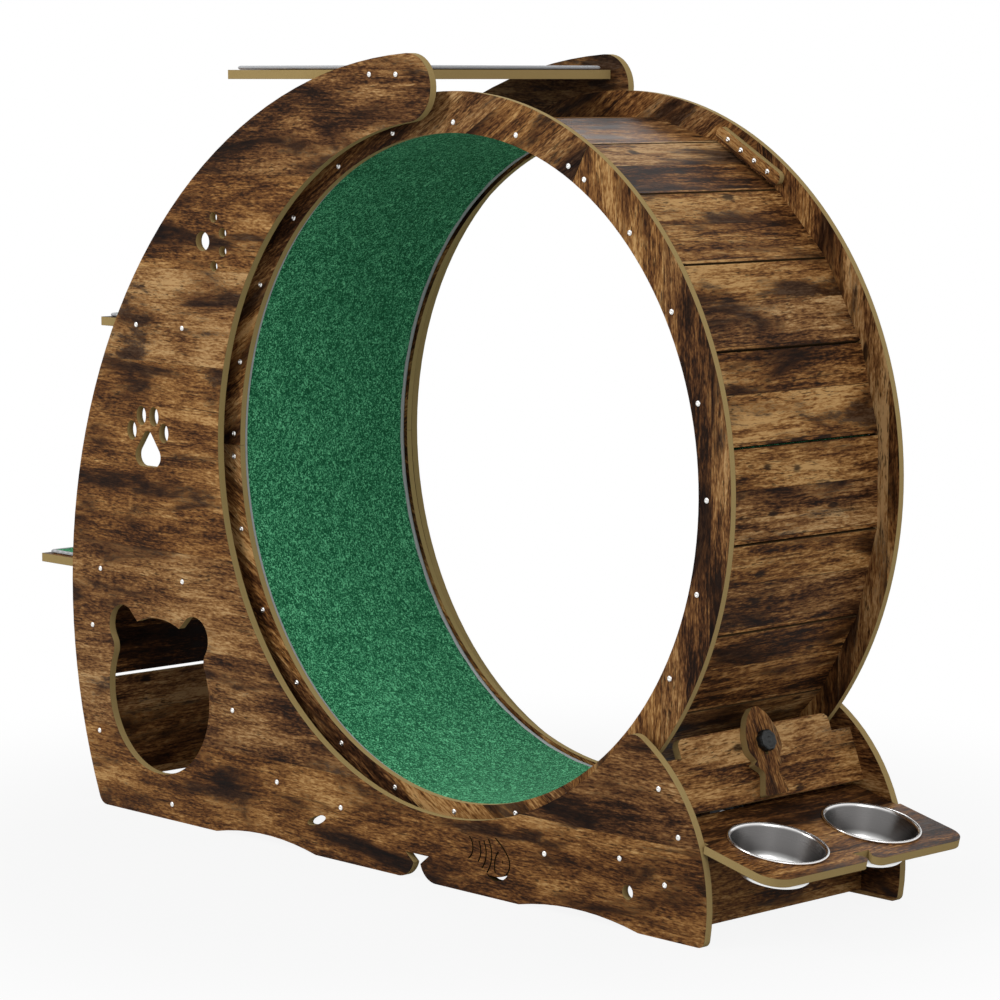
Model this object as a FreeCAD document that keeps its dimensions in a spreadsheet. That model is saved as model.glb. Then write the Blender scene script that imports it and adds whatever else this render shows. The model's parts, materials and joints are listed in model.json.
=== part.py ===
import FreeCAD, Part
import math
import os
import re

import Sketcher

# A cat exercise wheel: a big drum of slats between two board rings, carried on four rollers
# between two side panels that also hold steps, a sleeping box and a shelf for two bowls.
#
# Frame: millimetres, +Z up from the floor, +X towards the bowls, Y along the wheel's axle.
# The origin is on the floor, below the middle of the whole object.  Left and right are as
# seen from the bowls, looking back along -X, so the left side panel is at -Y.

# Driving dimensions: name, value in millimetres, degrees or pieces, and what it is.
SIZES = [
    # the running wheel
    ("wheel_radius", 550, "outer radius of the two rings"),
    ("ring_width", 60, "width of the ring boards, measured along the radius"),
    ("ring_thick", 10, "thickness of the ring boards"),
    ("seam_gap", 0.6, "gap between two ring pieces"),
    ("drum_width", 339, "running width between the rings"),
    ("slat_count", 24, "slats around the drum"),
    ("slat_thick", 9, "thickness of a slat"),
    ("slat_gap", 1.5, "gap between two slats at their inner faces"),
    ("slat_seat", 11, "from the inner edge of the rings out to the slats"),
    ("mat_thick", 5, "thickness of the running mat"),
    ("mat_clear", 0.3, "clearance of a mat from what it lies on"),
    ("splice_length", 142, "length of the bar that joins two ring pieces"),
    ("splice_width", 20, "width of that bar"),
    ("splice_thick", 10, "thickness of that bar"),
    ("splice_inset", 13, "from the outer edge of the ring in to that bar"),
    ("splice_round", 9, "corner radius of that bar"),
    # the rollers under the wheel
    ("roller_radius", 23, "radius of the groove that the ring rolls in"),
    ("flange_height", 5, "height of the flanges beside the groove"),
    ("roller_width", 20, "width of a roller"),
    ("groove_play", 1.5, "side play of the ring in the groove"),
    ("roller_gap", 0.3, "gap between ring and groove"),
    ("roller_angle", 67.3, "angle of the rollers below the axle, in degrees"),
    ("rod_radius", 4, "radius of the roller rods"),
    ("running_clearance", 0.05, "radial clearance of a bore on the rod or bolt in it"),
    ("spacer_radius", 8, "radius of the spacer tubes on the rods"),
    ("side_play", 0.4, "play of a roller between its spacer tubes"),
    # the side panels
    ("panel_thick", 12, "thickness of the side panels"),
    ("ring_side_gap", 17.5, "gap between a ring and its side panel"),
    ("floor_gap", 61.7, "from the floor up to the wheel"),
    ("opening_lap", 41, "how far the rings hide behind the side panels"),
    ("nose_radius", 49.7, "radius of the round end at the top of the panels"),
    ("nose_angle", 96.8, "direction of that round end from the axle, in degrees"),
    ("back_shift", 20.4, "centre of the round back, behind the axle"),
    ("back_drop", 264.8, "centre of the round back, below the axle"),
    ("hump_radius", 256, "radius of the round front"),
    ("hump_behind", 164.4, "centre of the round front, behind the lock board"),
    ("hump_below", 155.1, "centre of the round front, below the lock board"),
    ("hump_round", 28, "radius at the top of the round front"),
    ("rear_corner", 20, "radius of the rear corner at the floor"),
    ("front_corner", 12, "radius of the front corner at the floor"),
    ("arch_height", 13, "height of the two arches between the feet"),
    ("arch_width", 240, "width of the two arches"),
    ("rear_arch", 401, "middle of the rear arch, behind the axle"),
    ("front_arch", 288, "middle of the front arch, ahead of the axle"),
    # the fish-tail notches in the base of the panels and in the bowl shelf
    ("notch_shift", 50, "middle of the base notch, behind the axle"),
    ("notch_depth", 39, "depth of the base notch"),
    ("notch_mouth", 82, "width of the base notch at the floor"),
    ("notch_neck", 15, "narrowest width of a notch"),
    ("notch_neck_level", 25, "height of that neck in the base notch"),
    ("notch_flare", 51, "width of the base notch at its top"),
    ("shelf_notch_depth", 28.5, "depth of the notch in the bowl shelf"),
    ("shelf_notch_mouth", 44, "width of that notch at the edge of the shelf"),
    ("shelf_notch_neck_level", 12.5, "from the edge of the shelf to the neck of that notch"),
    ("shelf_notch_flare", 35, "width of that notch at its inner end"),
    # the door in the side panels: a round face with two ears
    ("door_gap", 156.5, "middle of the door, behind the round opening of the panels"),
    ("door_level", 200, "height of the middle of the door"),
    ("door_radius", 129, "radius of the door"),
    ("ear_radius", 35.5, "radius of the ears"),
    ("ear_spread", 91.5, "from the middle of the door out to the centre of an ear"),
    ("ear_rise", 100, "from the middle of the door up to the centres of the ears"),
    ("ear_end", 121, "where the curve of an ear ends, in degrees"),
    ("cheek_radius", 25, "radius of the hollow between the face and an ear"),
    ("valley_spread", 54, "from the middle of the door out to the root of an ear"),
    ("valley_rise", 112.5, "from the middle of the door up to the roots of the ears"),
    ("crown_rise", 123, "from the middle of the door up to its top edge"),
    # the small figures cut through the side panels
    ("low_paw_gap", 177.4, "lower paw print, out from the round opening"),
    ("low_paw_angle", 1.8, "lower paw print, below the level of the axle, in degrees"),
    ("low_paw_size", 100, "size of the lower paw print"),
    ("high_paw_gap", 119, "upper paw print, out from the round opening"),
    ("high_paw_angle", 30.3, "upper paw print, above the level of the axle, in degrees"),
    ("high_paw_size", 88, "size of the upper paw print"),
    ("bone_shift", 95, "fish bone, ahead of the axle"),
    ("bone_level", 60, "height of the fish bone"),
    ("bone_size", 100, "length of the fish bone"),
    ("bone_slot", 2.6, "width of its slots"),
    ("leaf_shift", 278.3, "leaf-shaped hole, behind the axle"),
    ("leaf_length", 45, "length of the leaf-shaped hole"),
    ("leaf_width", 13, "width of the leaf-shaped hole"),
    ("leaf_turn", 19.6, "slant of the leaf-shaped hole, in degrees"),
    ("foot_hole_shift", 387, "round hole in the front foot, ahead of the axle"),
    ("foot_hole_level", 54.5, "height of the leaf-shaped and the round hole"),
    ("foot_hole_radius", 10.5, "radius of the round hole"),
    # the flat boards
    ("board_thick", 12, "thickness of the boards between the panels"),
    ("step_thick", 14, "thickness of the two steps and the top shelf"),
    ("top_gap", 16.8, "from the wheel up to the top shelf"),
    ("top_front", 55, "front edge of the top shelf, behind the axle"),
    ("top_overhang", 236.5, "how far the top shelf stands out behind the panels"),
    ("middle_height", 797.7, "height of the middle step"),
    ("middle_overhang", 50.2, "how far the middle step stands out"),
    ("lower_height", 396, "height of the lower step"),
    ("lower_overhang", 100.7, "how far the lower step stands out"),
    ("step_gap", 38, "from the wheel to the inner edges of the steps"),
    ("pad_thick", 6, "thickness of the mats on the steps"),
    ("pad_inset", 8, "border of bare board around those mats"),
    ("top_screw_inset", 36, "from the front edge of the top shelf to its first screw"),
    ("top_screw_pitch", 58, "distance between the two screws of the top shelf"),
    ("middle_screw_inset", 35, "from the inner edge of the middle step to its first screw"),
    ("middle_screw_pitch", 117, "distance between the two screws of the middle step"),
    ("lower_screw_inset", 57, "from the inner edge of the lower step to its first screw"),
    ("lower_screw_pitch", 213, "distance between the two screws of the lower step"),
    # the sleeping box
    ("wall_inset", 52, "back wall, in from the round back"),
    ("wall_tilt", 5, "lean of the back wall, in degrees"),
    ("wall_foot", 37, "bottom edge of the back wall"),
    ("wall_gap", 5, "gap between the two boards of the back wall"),
    ("roof_gap", 4, "gap between the back wall and the lower step"),
    ("floor_level", 26, "height of the middle of the floor board"),
    ("house_depth", 350, "depth of the floor board"),
    ("floor_tuck", 14, "how far the floor board stands in from the back wall"),
    ("guard_gap", 82, "from the wheel to the boards that guard it"),
    ("guard_width", 130, "width of those boards"),
    ("guard_angle", 54, "angle of the lower guards below the axle, in degrees"),
    ("upper_guard_angle", 40.8, "angle of the upper guard below the axle, in degrees"),
    # the front end
    ("lock_gap", 50.7, "from the wheel to the middle of the lock board"),
    ("lock_angle", 42, "angle of the lock board below the axle, in degrees"),
    ("lock_tilt", 21.2, "lean of the lock board back over the wheel, in degrees"),
    ("lock_drop", 44, "lock board, from its middle down"),
    ("lock_rise", 61.5, "lock board, from its middle up between the rings"),
    ("lock_tab_rise", 34.5, "lock board, from its middle up beyond the rings"),
    ("lock_ring_gap", 12.5, "from the rings to the raised part of the lock board"),
    ("lock_round", 12, "corner radius of the raised part"),
    ("kick_ahead", 12.6, "kick board, ahead of the lock board"),
    ("kick_lift", 8, "kick board, up from the floor"),
    ("fit_gap", 0.3, "gap where one piece only rests against another"),
    ("shelf_ahead", 93.6, "reference line of the bowl shelf, ahead of the lock board"),
    ("shelf_below", 69, "reference line of the bowl shelf, below the lock board"),
    ("shelf_tilt", 13, "slope of the bowl shelf down to the front, in degrees"),
    ("shelf_lap", 8, "how far the bowl shelf laps over the front of each panel"),
    ("shelf_back", 92, "bowl shelf, behind its reference line"),
    ("shelf_front", 122.5, "bowl shelf, ahead of its reference line"),
    ("shelf_round", 35, "front corner radius of the bowl shelf"),
    ("shelf_screw_back", 56, "screws of the bowl shelf, behind its reference line"),
    # bowls
    ("bowl_gap", 52, "gap between the rims of the two bowls"),
    ("bowl_ahead", 28, "bowls, ahead of the reference line of the shelf"),
    ("bowl_radius", 67, "inner radius of a bowl at its rim"),
    ("bowl_foot", 52, "radius of a bowl at its bottom"),
    ("bowl_bevel", 7, "width of the slant between the bottom and the side of a bowl"),
    ("bowl_depth", 47, "depth of a bowl below the shelf"),
    ("bowl_wall", 1, "thickness of the steel of a bowl"),
    ("rim_width", 5, "width of the rim of a bowl"),
    ("rim_height", 3, "height of the rim above the shelf"),
    ("bowl_clearance", 1, "clearance around a bowl in its hole"),
    # the brake plate and its knob
    ("plate_thick", 12, "thickness of the brake plate"),
    ("plate_drop", 41, "tail of the brake plate, below the middle of the lock board"),
    ("plate_rise", 86.5, "head of the brake plate, above the middle of the lock board"),
    ("plate_width", 70, "width of the brake plate"),
    ("bolt_rise", 36, "bolt, above the middle of the lock board"),
    ("bolt_radius", 3, "radius of the bolt"),
    ("bolt_head_radius", 6.5, "radius of the head of the bolt"),
    ("bolt_head_thick", 4, "thickness of the head of the bolt"),
    ("slot_play", 0.5, "clearance of the slot around the bolt"),
    ("slot_travel", 16, "length that the slot lets the plate slide"),
    ("knob_radius", 16.2, "outer radius of the knob"),
    ("knob_thick", 12, "thickness of the knob"),
    ("knob_cap", 3, "thickness of the knob in front of the bolt"),
    ("knob_lobes", 8, "lobes around the knob"),
    ("knob_hollow", 1.8, "depth of the hollows between the lobes"),
    # screws
    ("screw_head", 4.2, "radius of the screw heads"),
    ("screw_rise", 2, "height of the screw heads"),
    ("seam_screw", 18, "from a seam to the screws beside it, along the ring"),
    ("splice_screw_pitch", 30, "distance between the screws of a splice bar"),
]

# Places that follow from the driving dimensions.  Angles are in degrees.
PLACES = [
    ("axle_height", "wheel_radius + floor_gap"),
    ("opening_radius", "wheel_radius - opening_lap"),
    ("ring_inner", "wheel_radius - ring_width"),
    ("slat_inner", "ring_inner + slat_seat"),
    ("slat_middle", "slat_inner + slat_thick / 2"),
    ("slat_width", "2 * slat_inner * tan(180 / slat_count) - slat_gap"),
    ("panel_gap", "drum_width + 2 * (ring_thick + ring_side_gap)"),
    ("panel_outside", "panel_gap / 2 + panel_thick"),
    ("ring_outside", "drum_width / 2 + ring_thick"),
    ("splice_middle", "wheel_radius - splice_inset - splice_width / 2"),
    # the big circle of the panels' back touches the round end at the top from outside
    ("nose_x", "(opening_radius + nose_radius) * cos(nose_angle)"),
    ("nose_z", "axle_height + (opening_radius + nose_radius) * sin(nose_angle)"),
    ("back_z", "axle_height - back_drop"),
    ("back_radius", "sqrt((nose_x + back_shift) ^ 2 + (nose_z - back_z) ^ 2) + nose_radius"),
    # the door and the paw prints keep their distance from the round opening
    ("door_x", "opening_radius + door_gap"),
    ("low_paw_x", "(opening_radius + low_paw_gap) * cos(low_paw_angle)"),
    ("low_paw_z", "axle_height - (opening_radius + low_paw_gap) * sin(low_paw_angle)"),
    ("high_paw_x", "(opening_radius + high_paw_gap) * cos(high_paw_angle)"),
    ("high_paw_z", "axle_height + (opening_radius + high_paw_gap) * sin(high_paw_angle)"),
    # the lock board is the reference of everything at the front
    ("lock_x", "(wheel_radius + lock_gap) * cos(lock_angle)"),
    ("lock_z", "axle_height - (wheel_radius + lock_gap) * sin(lock_angle)"),
    ("hump_x", "lock_x - hump_behind"),
    ("hump_z", "lock_z - hump_below"),
    ("kick_x", "lock_x + kick_ahead"),
    ("shelf_x", "lock_x + shelf_ahead"),
    ("shelf_z", "lock_z - shelf_below"),
    # the three levels at the back
    ("top_level", "axle_height + wheel_radius + top_gap + step_thick / 2"),
    ("middle_level", "middle_height - step_thick / 2"),
    ("lower_level", "lower_height - step_thick / 2"),
    ("top_end", "back_shift + sqrt(back_radius ^ 2 - (top_level - back_z) ^ 2) + top_overhang"),
    ("middle_end",
     "back_shift + sqrt(back_radius ^ 2 - (middle_level - back_z) ^ 2) + middle_overhang"),
    ("lower_end",
     "back_shift + sqrt(back_radius ^ 2 - (lower_level - back_z) ^ 2) + lower_overhang"),
    ("middle_start", "sqrt((wheel_radius + step_gap) ^ 2 - (middle_level - axle_height) ^ 2)"),
    ("lower_start", "sqrt((wheel_radius + step_gap) ^ 2 - (lower_level - axle_height) ^ 2)"),
    # the back wall of the sleeping box
    ("wall_height", "(lower_height - step_thick - roof_gap - wall_foot - wall_gap) / 2"),
    ("low_wall_z", "wall_foot + wall_height / 2"),
    ("high_wall_z", "low_wall_z + wall_height + wall_gap"),
    ("high_wall_x",
     "back_shift + sqrt(back_radius ^ 2 - (high_wall_z - back_z) ^ 2) - wall_inset"),
    ("low_wall_x", "high_wall_x - (high_wall_z - low_wall_z) * tan(wall_tilt)"),
    ("house_x", "low_wall_x - floor_tuck - house_depth / 2"),
    # the boards that guard the wheel
    ("guard_radius", "wheel_radius + guard_gap"),
    ("guard_x", "guard_radius * cos(guard_angle)"),
    ("guard_z", "axle_height - guard_radius * sin(guard_angle)"),
    ("upper_guard_x", "guard_radius * cos(upper_guard_angle)"),
    ("upper_guard_z", "axle_height - guard_radius * sin(upper_guard_angle)"),
    # the rollers
    ("roller_orbit", "wheel_radius + roller_radius + roller_gap"),
    ("roller_x", "roller_orbit * cos(roller_angle)"),
    ("roller_z", "axle_height - roller_orbit * sin(roller_angle)"),
    ("roller_y", "drum_width / 2 + ring_thick / 2"),
    # the shoulders of the bowl shelf stand just ahead of the round front of the panels
    ("shoulder_z", "shelf_z - board_thick"),
    ("shoulder_x", "hump_x + sqrt(hump_radius ^ 2 - (shoulder_z - hump_z) ^ 2) + fit_gap"),
    ("shoulder", "(shelf_x - shoulder_x) / cos(shelf_tilt) - board_thick * tan(shelf_tilt)"),
    ("bowl_hole", "bowl_radius + bowl_wall + bowl_clearance"),
    ("bowl_spacing", "2 * (bowl_radius + rim_width) + bowl_gap"),
    # the kick board ends under the slanting bowl shelf
    ("kick_top",
     "shelf_z - board_thick / cos(shelf_tilt) - fit_gap"
     " + (shelf_x - kick_x - board_thick / 2) * tan(shelf_tilt)"),
    # the origin is below the middle of the whole length
    ("front_end", "shelf_x + shelf_front * cos(shelf_tilt)"),
    ("axle_x", "(lower_end - front_end) / 2"),
]

doc = FreeCAD.newDocument("cat_exercise_wheel")


# ---------------------------------------------------------------- named values

sheet = doc.addObject("Spreadsheet::Sheet", "Sizes")
for row, (name, number, meaning) in enumerate(SIZES, start=1):
    sheet.set("A%d" % row, str(number))
    sheet.setAlias("A%d" % row, name)
    sheet.set("B%d" % row, meaning)

places = doc.addObject("App::FeaturePython", "Places")
SIZE_NAMES = {name for name, number, meaning in SIZES}
PLACE_NAMES = {name for name, formula in PLACES}


def refer(formula):
    """The formula with each named value turned into a reference to where it is kept."""

    def owner(match):
        word = match.group(0)
        if word in SIZE_NAMES:
            return "Sizes." + word
        if word in PLACE_NAMES:
            return "Places." + word
        return word

    return re.sub(r"[A-Za-z_]+", owner, formula)


for name, formula in PLACES:
    places.addProperty("App::PropertyFloat", name)
    places.setExpression(name, refer(formula))
doc.recompute()


def value(formula):
    """The number that a named value or a formula of named values stands for."""
    return float(places.evalExpression(refer(formula)))


def bind(item, **formulas):
    """Tie properties of an object to named values; two underscores stand for a dot."""
    for target, formula in formulas.items():
        item.setExpression(target.replace("__", "."), refer(formula))


PARTS = []


def keep(item):
    """Count an object as one sub-part of the wheel."""
    PARTS.append(item)
    return item


# ---------------------------------------------------------------- lines and arcs

UPWARD = FreeCAD.Vector(0, 0, 1)


def cosine(degrees):
    return math.cos(math.radians(degrees))


def sine(degrees):
    return math.sin(math.radians(degrees))


def point(across, up):
    """A point in the plane of a sketch."""
    return FreeCAD.Vector(across, up, 0)


def around(centre, radius, degrees):
    """The point of a circle in a given direction."""
    return centre + point(radius * cosine(degrees), radius * sine(degrees))


def direction(centre, target):
    """The angle in degrees from one point to another."""
    return math.degrees(math.atan2(target.y - centre.y, target.x - centre.x))


def unit(vector):
    return vector * (1 / vector.Length)


def line(start, end):
    return Part.LineSegment(start, end)


def arc(centre, radius, start, end):
    """An arc drawn anticlockwise between two angles in degrees."""
    circle = Part.Circle(centre, UPWARD, radius)
    return Part.ArcOfCircle(circle, math.radians(start), math.radians(end))


def meet(first, first_radius, second, second_radius, above):
    """The upper or the lower one of the two points where two circles meet."""
    gap = (second - first).Length
    forward = unit(second - first)
    along = (gap ** 2 + first_radius ** 2 - second_radius ** 2) / (2 * gap)
    aside = math.sqrt(first_radius ** 2 - along ** 2)
    sideways = point(-forward.y, forward.x)
    found = [first + forward * along + sideways * side for side in (aside, -aside)]
    found.sort(key=lambda place: place.y)
    return found[1] if above else found[0]


def rounded(corners, closed=True):
    """Lines and arcs past corners given as points with radii; an open row keeps its ends."""
    bends = []
    for index, (corner, radius) in enumerate(corners):
        if radius == 0:
            bends.append((corner, corner, corner))
            continue
        to_last = unit(corners[index - 1][0] - corner)
        to_next = unit(corners[(index + 1) % len(corners)][0] - corner)
        half = to_last.getAngle(to_next) / 2
        inward = unit(to_last + to_next)
        inset = radius / math.tan(half)
        crown = corner + inward * (radius / math.sin(half) - radius)
        bends.append((corner + to_last * inset, crown, corner + to_next * inset))
    edges = []
    for index, (start, crown, end) in enumerate(bends):
        if start != end:
            edges.append(Part.Arc(start, crown, end))
        if index + 1 < len(bends) or closed:
            following = bends[(index + 1) % len(bends)][0]
            if end.distanceToPoint(following) > 1e-6:
                edges.append(line(end, following))
    return edges


def moved(corners, across, up, turn=0):
    """Corners with radii after a turn in degrees and a shift."""
    placement = FreeCAD.Placement(point(across, up), FreeCAD.Rotation(UPWARD, turn))
    return [(placement.multVec(corner), radius) for corner, radius in corners]


# ---------------------------------------------------------------- sketches and bodies

def new_body(label, x="0", y="0", z="0", turn="0"):
    """A body that is one sub-part, turned about its Y axis and placed by formulas."""
    body = keep(doc.addObject("PartDesign::Body", label))
    body.Placement = FreeCAD.Placement(FreeCAD.Vector(), FreeCAD.Rotation(FreeCAD.Vector(0, 1, 0), 1))
    bind(
        body,
        Placement__Base__x=x,
        Placement__Base__y=y,
        Placement__Base__z=z,
        Placement__Rotation__Angle=turn,
    )
    return body


def new_sketch(body, plane, name):
    """An empty sketch on one of the body's own origin planes."""
    face = next(item for item in body.Origin.OriginFeatures if item.Role == plane)
    sketch = body.newObject("Sketcher::SketchObject", name)
    sketch.AttachmentSupport = [(face, "")]
    sketch.MapMode = "FlatFace"
    return sketch


def join_ends(sketch, first, second):
    """Hold together the ends of two neighbouring edges of an outline."""
    pairs = []
    for here in (1, 2):
        for there in (1, 2):
            gap = sketch.getPoint(first, here).distanceToPoint(sketch.getPoint(second, there))
            pairs.append((gap, here, there))
    gap, here, there = min(pairs)
    sketch.addConstraint(Sketcher.Constraint("Coincident", first, here, second, there))


def add_outline(sketch, edges):
    """Add a closed outline of lines and arcs to a sketch."""
    first = sketch.GeometryCount
    for edge in edges:
        sketch.addGeometry(edge)
    last = sketch.GeometryCount - 1
    for index in range(first, last):
        join_ends(sketch, index, index + 1)
    join_ends(sketch, last, first)


def add_circle(sketch, across, up, radius):
    """Add a circle whose centre and radius are tied to named values."""
    index = sketch.addGeometry(Part.Circle(point(1, 1), UPWARD, 1))
    for kind, ends, formula in (
        ("Radius", (index,), radius),
        ("DistanceX", (-1, 1, index, 3), across),
        ("DistanceY", (-1, 1, index, 3), up),
    ):
        number = sketch.addConstraint(Sketcher.Constraint(kind, *ends, 1.0))
        sketch.setExpression("Constraints[%d]" % number, refer(formula))


def add_oval(sketch, centre, half_long, half_wide, turn):
    """Add an ellipse given by its two half axes and the direction of the long one."""
    long_end = around(centre, half_long, turn)
    wide_end = around(centre, half_wide, turn + 90)
    sketch.addGeometry(Part.Ellipse(long_end, wide_end, centre))


def pad(body, sketch, name, length):
    feature = body.newObject("PartDesign::Pad", name)
    feature.Profile = sketch
    bind(feature, Length=length)
    sketch.Visibility = False
    return feature


def pocket(body, sketch, name):
    """Cut a sketch right through the body, towards the side where its solid lies."""
    doc.recompute()
    before = body.Shape.Volume
    feature = body.newObject("PartDesign::Pocket", name)
    feature.Profile = sketch
    feature.Type = "ThroughAll"
    feature.Reversed = True
    doc.recompute()
    if body.Shape.Volume > before * (1 - 1e-6):
        raise ValueError("%s of %s cuts nothing" % (name, body.Label))


def turned(label, plane, corners, **place):
    """A body made by turning a profile about the upright axis of its sketch."""
    body = new_body(label, **place)
    sketch = new_sketch(body, plane, "profile")
    add_outline(sketch, rounded(corners))
    feature = body.newObject("PartDesign::Revolution", "turning")
    feature.Profile = sketch
    feature.ReferenceAxis = (sketch, ["V_Axis"])
    feature.Angle = 360
    return body


# ---------------------------------------------------------------- the side panels

def fish_tail(depth, flare, neck, neck_level, mouth):
    """Corners of a notch shaped like a fish's tail, cut upwards into the first axis.

    Each lobe beside it is an arc that leaves the edge at the mouth and ends at the neck.
    """
    half_mouth, half_neck = mouth / 2, neck / 2
    corner = (half_mouth ** 2 - half_neck ** 2 - neck_level ** 2) / (2 * (half_mouth - half_neck))
    bend = math.atan2(neck_level, half_neck - corner)
    radius = (half_mouth - corner) * math.tan(bend / 2)
    right = [
        (point(corner, 0), radius),
        (point(half_neck, neck_level), 0),
        (point(flare / 2, depth), 0),
    ]
    left = [(point(-place.x, place.y), bend_radius) for place, bend_radius in right]
    return left + right[::-1]


def arch(middle):
    """The shallow arch between two feet of a panel, as start, edge and end."""
    half = value("arch_width") / 2
    start, end = point(middle - half, 0), point(middle + half, 0)
    return start, Part.Arc(start, point(middle, value("arch_height")), end), end


def panel_outline():
    """The outline of a side panel, forward along the floor and back over the top."""
    axle = point(0, value("axle_height"))
    opening = value("opening_radius")
    nose, nose_radius = point(value("nose_x"), value("nose_z")), value("nose_radius")
    back, back_radius = point(-value("back_shift"), value("back_z")), value("back_radius")
    hump, hump_radius = point(value("hump_x"), value("hump_z")), value("hump_radius")
    hump_round = value("hump_round")
    crest = meet(axle, opening + hump_round, hump, hump_radius - hump_round, above=True)

    rear_corner, front_corner = value("rear_corner"), value("front_corner")
    reach = math.sqrt((back_radius - rear_corner) ** 2 - (back.y - rear_corner) ** 2)
    rear = point(back.x - reach, rear_corner)
    reach = math.sqrt((hump_radius - front_corner) ** 2 - (hump.y - front_corner) ** 2)
    front = point(hump.x + reach, front_corner)

    rear_start, rear_arch, rear_end = arch(-value("rear_arch"))
    front_start, front_arch, front_end = arch(value("front_arch"))
    notch = fish_tail(
        value("notch_depth"),
        value("notch_flare"),
        value("notch_neck"),
        value("notch_neck_level"),
        value("notch_mouth"),
    )
    notch = moved(notch, -value("notch_shift"), 0)
    return [
        line(point(rear.x, 0), rear_start),
        rear_arch,
        *rounded([(rear_end, 0), *notch, (front_start, 0)], closed=False),
        front_arch,
        line(front_end, point(front.x, 0)),
        arc(front, front_corner, -90, direction(hump, front)),
        arc(hump, hump_radius, direction(hump, front), direction(hump, crest)),
        arc(crest, hump_round, direction(hump, crest), direction(crest, axle)),
        arc(axle, opening, direction(axle, nose), 360 + direction(axle, crest)),
        arc(nose, nose_radius, direction(nose, axle), direction(back, nose)),
        arc(back, back_radius, direction(back, nose), 360 + direction(back, rear)),
        arc(rear, rear_corner, direction(back, rear), -90),
    ]


def door_outline():
    """A round face with two round ears and a gently arched crown between them."""
    face, face_radius = point(-value("door_x"), value("door_level")), value("door_radius")
    ear_radius, ear_end, cheek = value("ear_radius"), value("ear_end"), value("cheek_radius")
    right_ear = face + point(value("ear_spread"), value("ear_rise"))
    left_ear = face + point(-value("ear_spread"), value("ear_rise"))
    right_cheek = meet(face, face_radius + cheek, right_ear, ear_radius + cheek, above=False)
    left_cheek = meet(face, face_radius + cheek, left_ear, ear_radius + cheek, above=False)
    right_valley = face + point(value("valley_spread"), value("valley_rise"))
    left_valley = face + point(-value("valley_spread"), value("valley_rise"))
    crown = face + point(0, value("crown_rise"))
    return [
        arc(face, face_radius, direction(face, left_cheek), 360 + direction(face, right_cheek)),
        arc(
            right_cheek, cheek, direction(right_cheek, right_ear),
            360 + direction(right_cheek, face),
        ),
        arc(right_ear, ear_radius, direction(right_ear, right_cheek), ear_end),
        line(around(right_ear, ear_radius, ear_end), right_valley),
        Part.Arc(right_valley, crown, left_valley),
        line(left_valley, around(left_ear, ear_radius, 180 - ear_end)),
        arc(left_ear, ear_radius, 180 - ear_end, 360 + direction(left_ear, left_cheek)),
        arc(left_cheek, cheek, direction(left_cheek, face), direction(left_cheek, left_ear)),
    ]


# The paw prints in shares of their size: the corners of the lower one's pad with their radii,
# and the places of the toes; each toe's long axis points away from the pad.
LOW_PAD = [((-0.50, -0.25), 0.17), ((0.50, -0.25), 0.17), ((0.0, 0.40), 0.12)]
LOW_TOES = [(-0.41, 0.31), (-0.16, 0.56), (0.16, 0.56), (0.41, 0.31)]
HIGH_TOES = [(-0.43, 0.31), (-0.16, 0.56), (0.16, 0.56), (0.43, 0.31)]
# Half length and half width of a toe, and of the upper paw print's oval pad.
LOW_TOE = (0.155, 0.12)
HIGH_TOE = (0.101, 0.092)
HIGH_PAD = (0.188, 0.173)


def spread(shares, size):
    """Points, given in shares of a size, as corners without radius."""
    return [(point(x, y) * size, 0) for x, y in shares]


def add_ovals(sketch, corners, half_axes, size, turn):
    """Equal ovals; their half axes, the long one first, are given in shares of a size."""
    for centre, radius in corners:
        add_oval(sketch, centre, half_axes[0] * size, half_axes[1] * size, turn)


def add_low_paw(sketch):
    """The upright paw print behind the middle of the wheel."""
    x, z, size = -value("low_paw_x"), value("low_paw_z"), value("low_paw_size")
    corners = [(point(across, up) * size, radius * size) for (across, up), radius in LOW_PAD]
    add_outline(sketch, rounded(moved(corners, x, z)))
    add_ovals(sketch, moved(spread(LOW_TOES, size), x, z), LOW_TOE, size, 90)


def add_high_paw(sketch):
    """The paw print near the back, its toes towards the wheel."""
    x, z, size = -value("high_paw_x"), value("high_paw_z"), value("high_paw_size")
    add_ovals(sketch, [(point(x, z), 0)], HIGH_PAD, size, 0)
    add_ovals(sketch, moved(spread(HIGH_TOES, size), x, z, -90), HIGH_TOE, size, 0)


# The slots of the fish bone in shares of its length.  Each runs along arcs that pass into one
# another: centre of the first arc from the middle of the bone, the direction in degrees in
# which it starts, and the radius and last direction of every arc.  They are the tail, three
# ribs, the gill and the back of the head.
BONES = [
    (-0.43, 0.08, -60, [(0.198, 52)]),
    (-0.327, 0.055, -39, [(0.262, 33)]),
    (-0.29, 0.04, -44, [(0.34, 32)]),
    (-0.25, 0.03, -41, [(0.416, 33)]),
    (0.55, -0.115, 138, [(0.326, 200)]),
    (-0.207, -0.486, 60, [(0.9, 38), (0.2, -62)]),
]
# The open mouth below the head, as three arcs: over its upper side from the front corner to
# the rear one, on to the lowest point, and back to the front.
MOUTH = [
    (0.515, -0.195), (0.34, -0.268),
    (0.05, -0.255), (0.13, -0.312),
    (0.243, -0.339), (0.40, -0.30),
]
# The eye: its centre, half its height and half its width.
EYE = ((0.397, -0.035), 0.026, 0.009)


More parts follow.
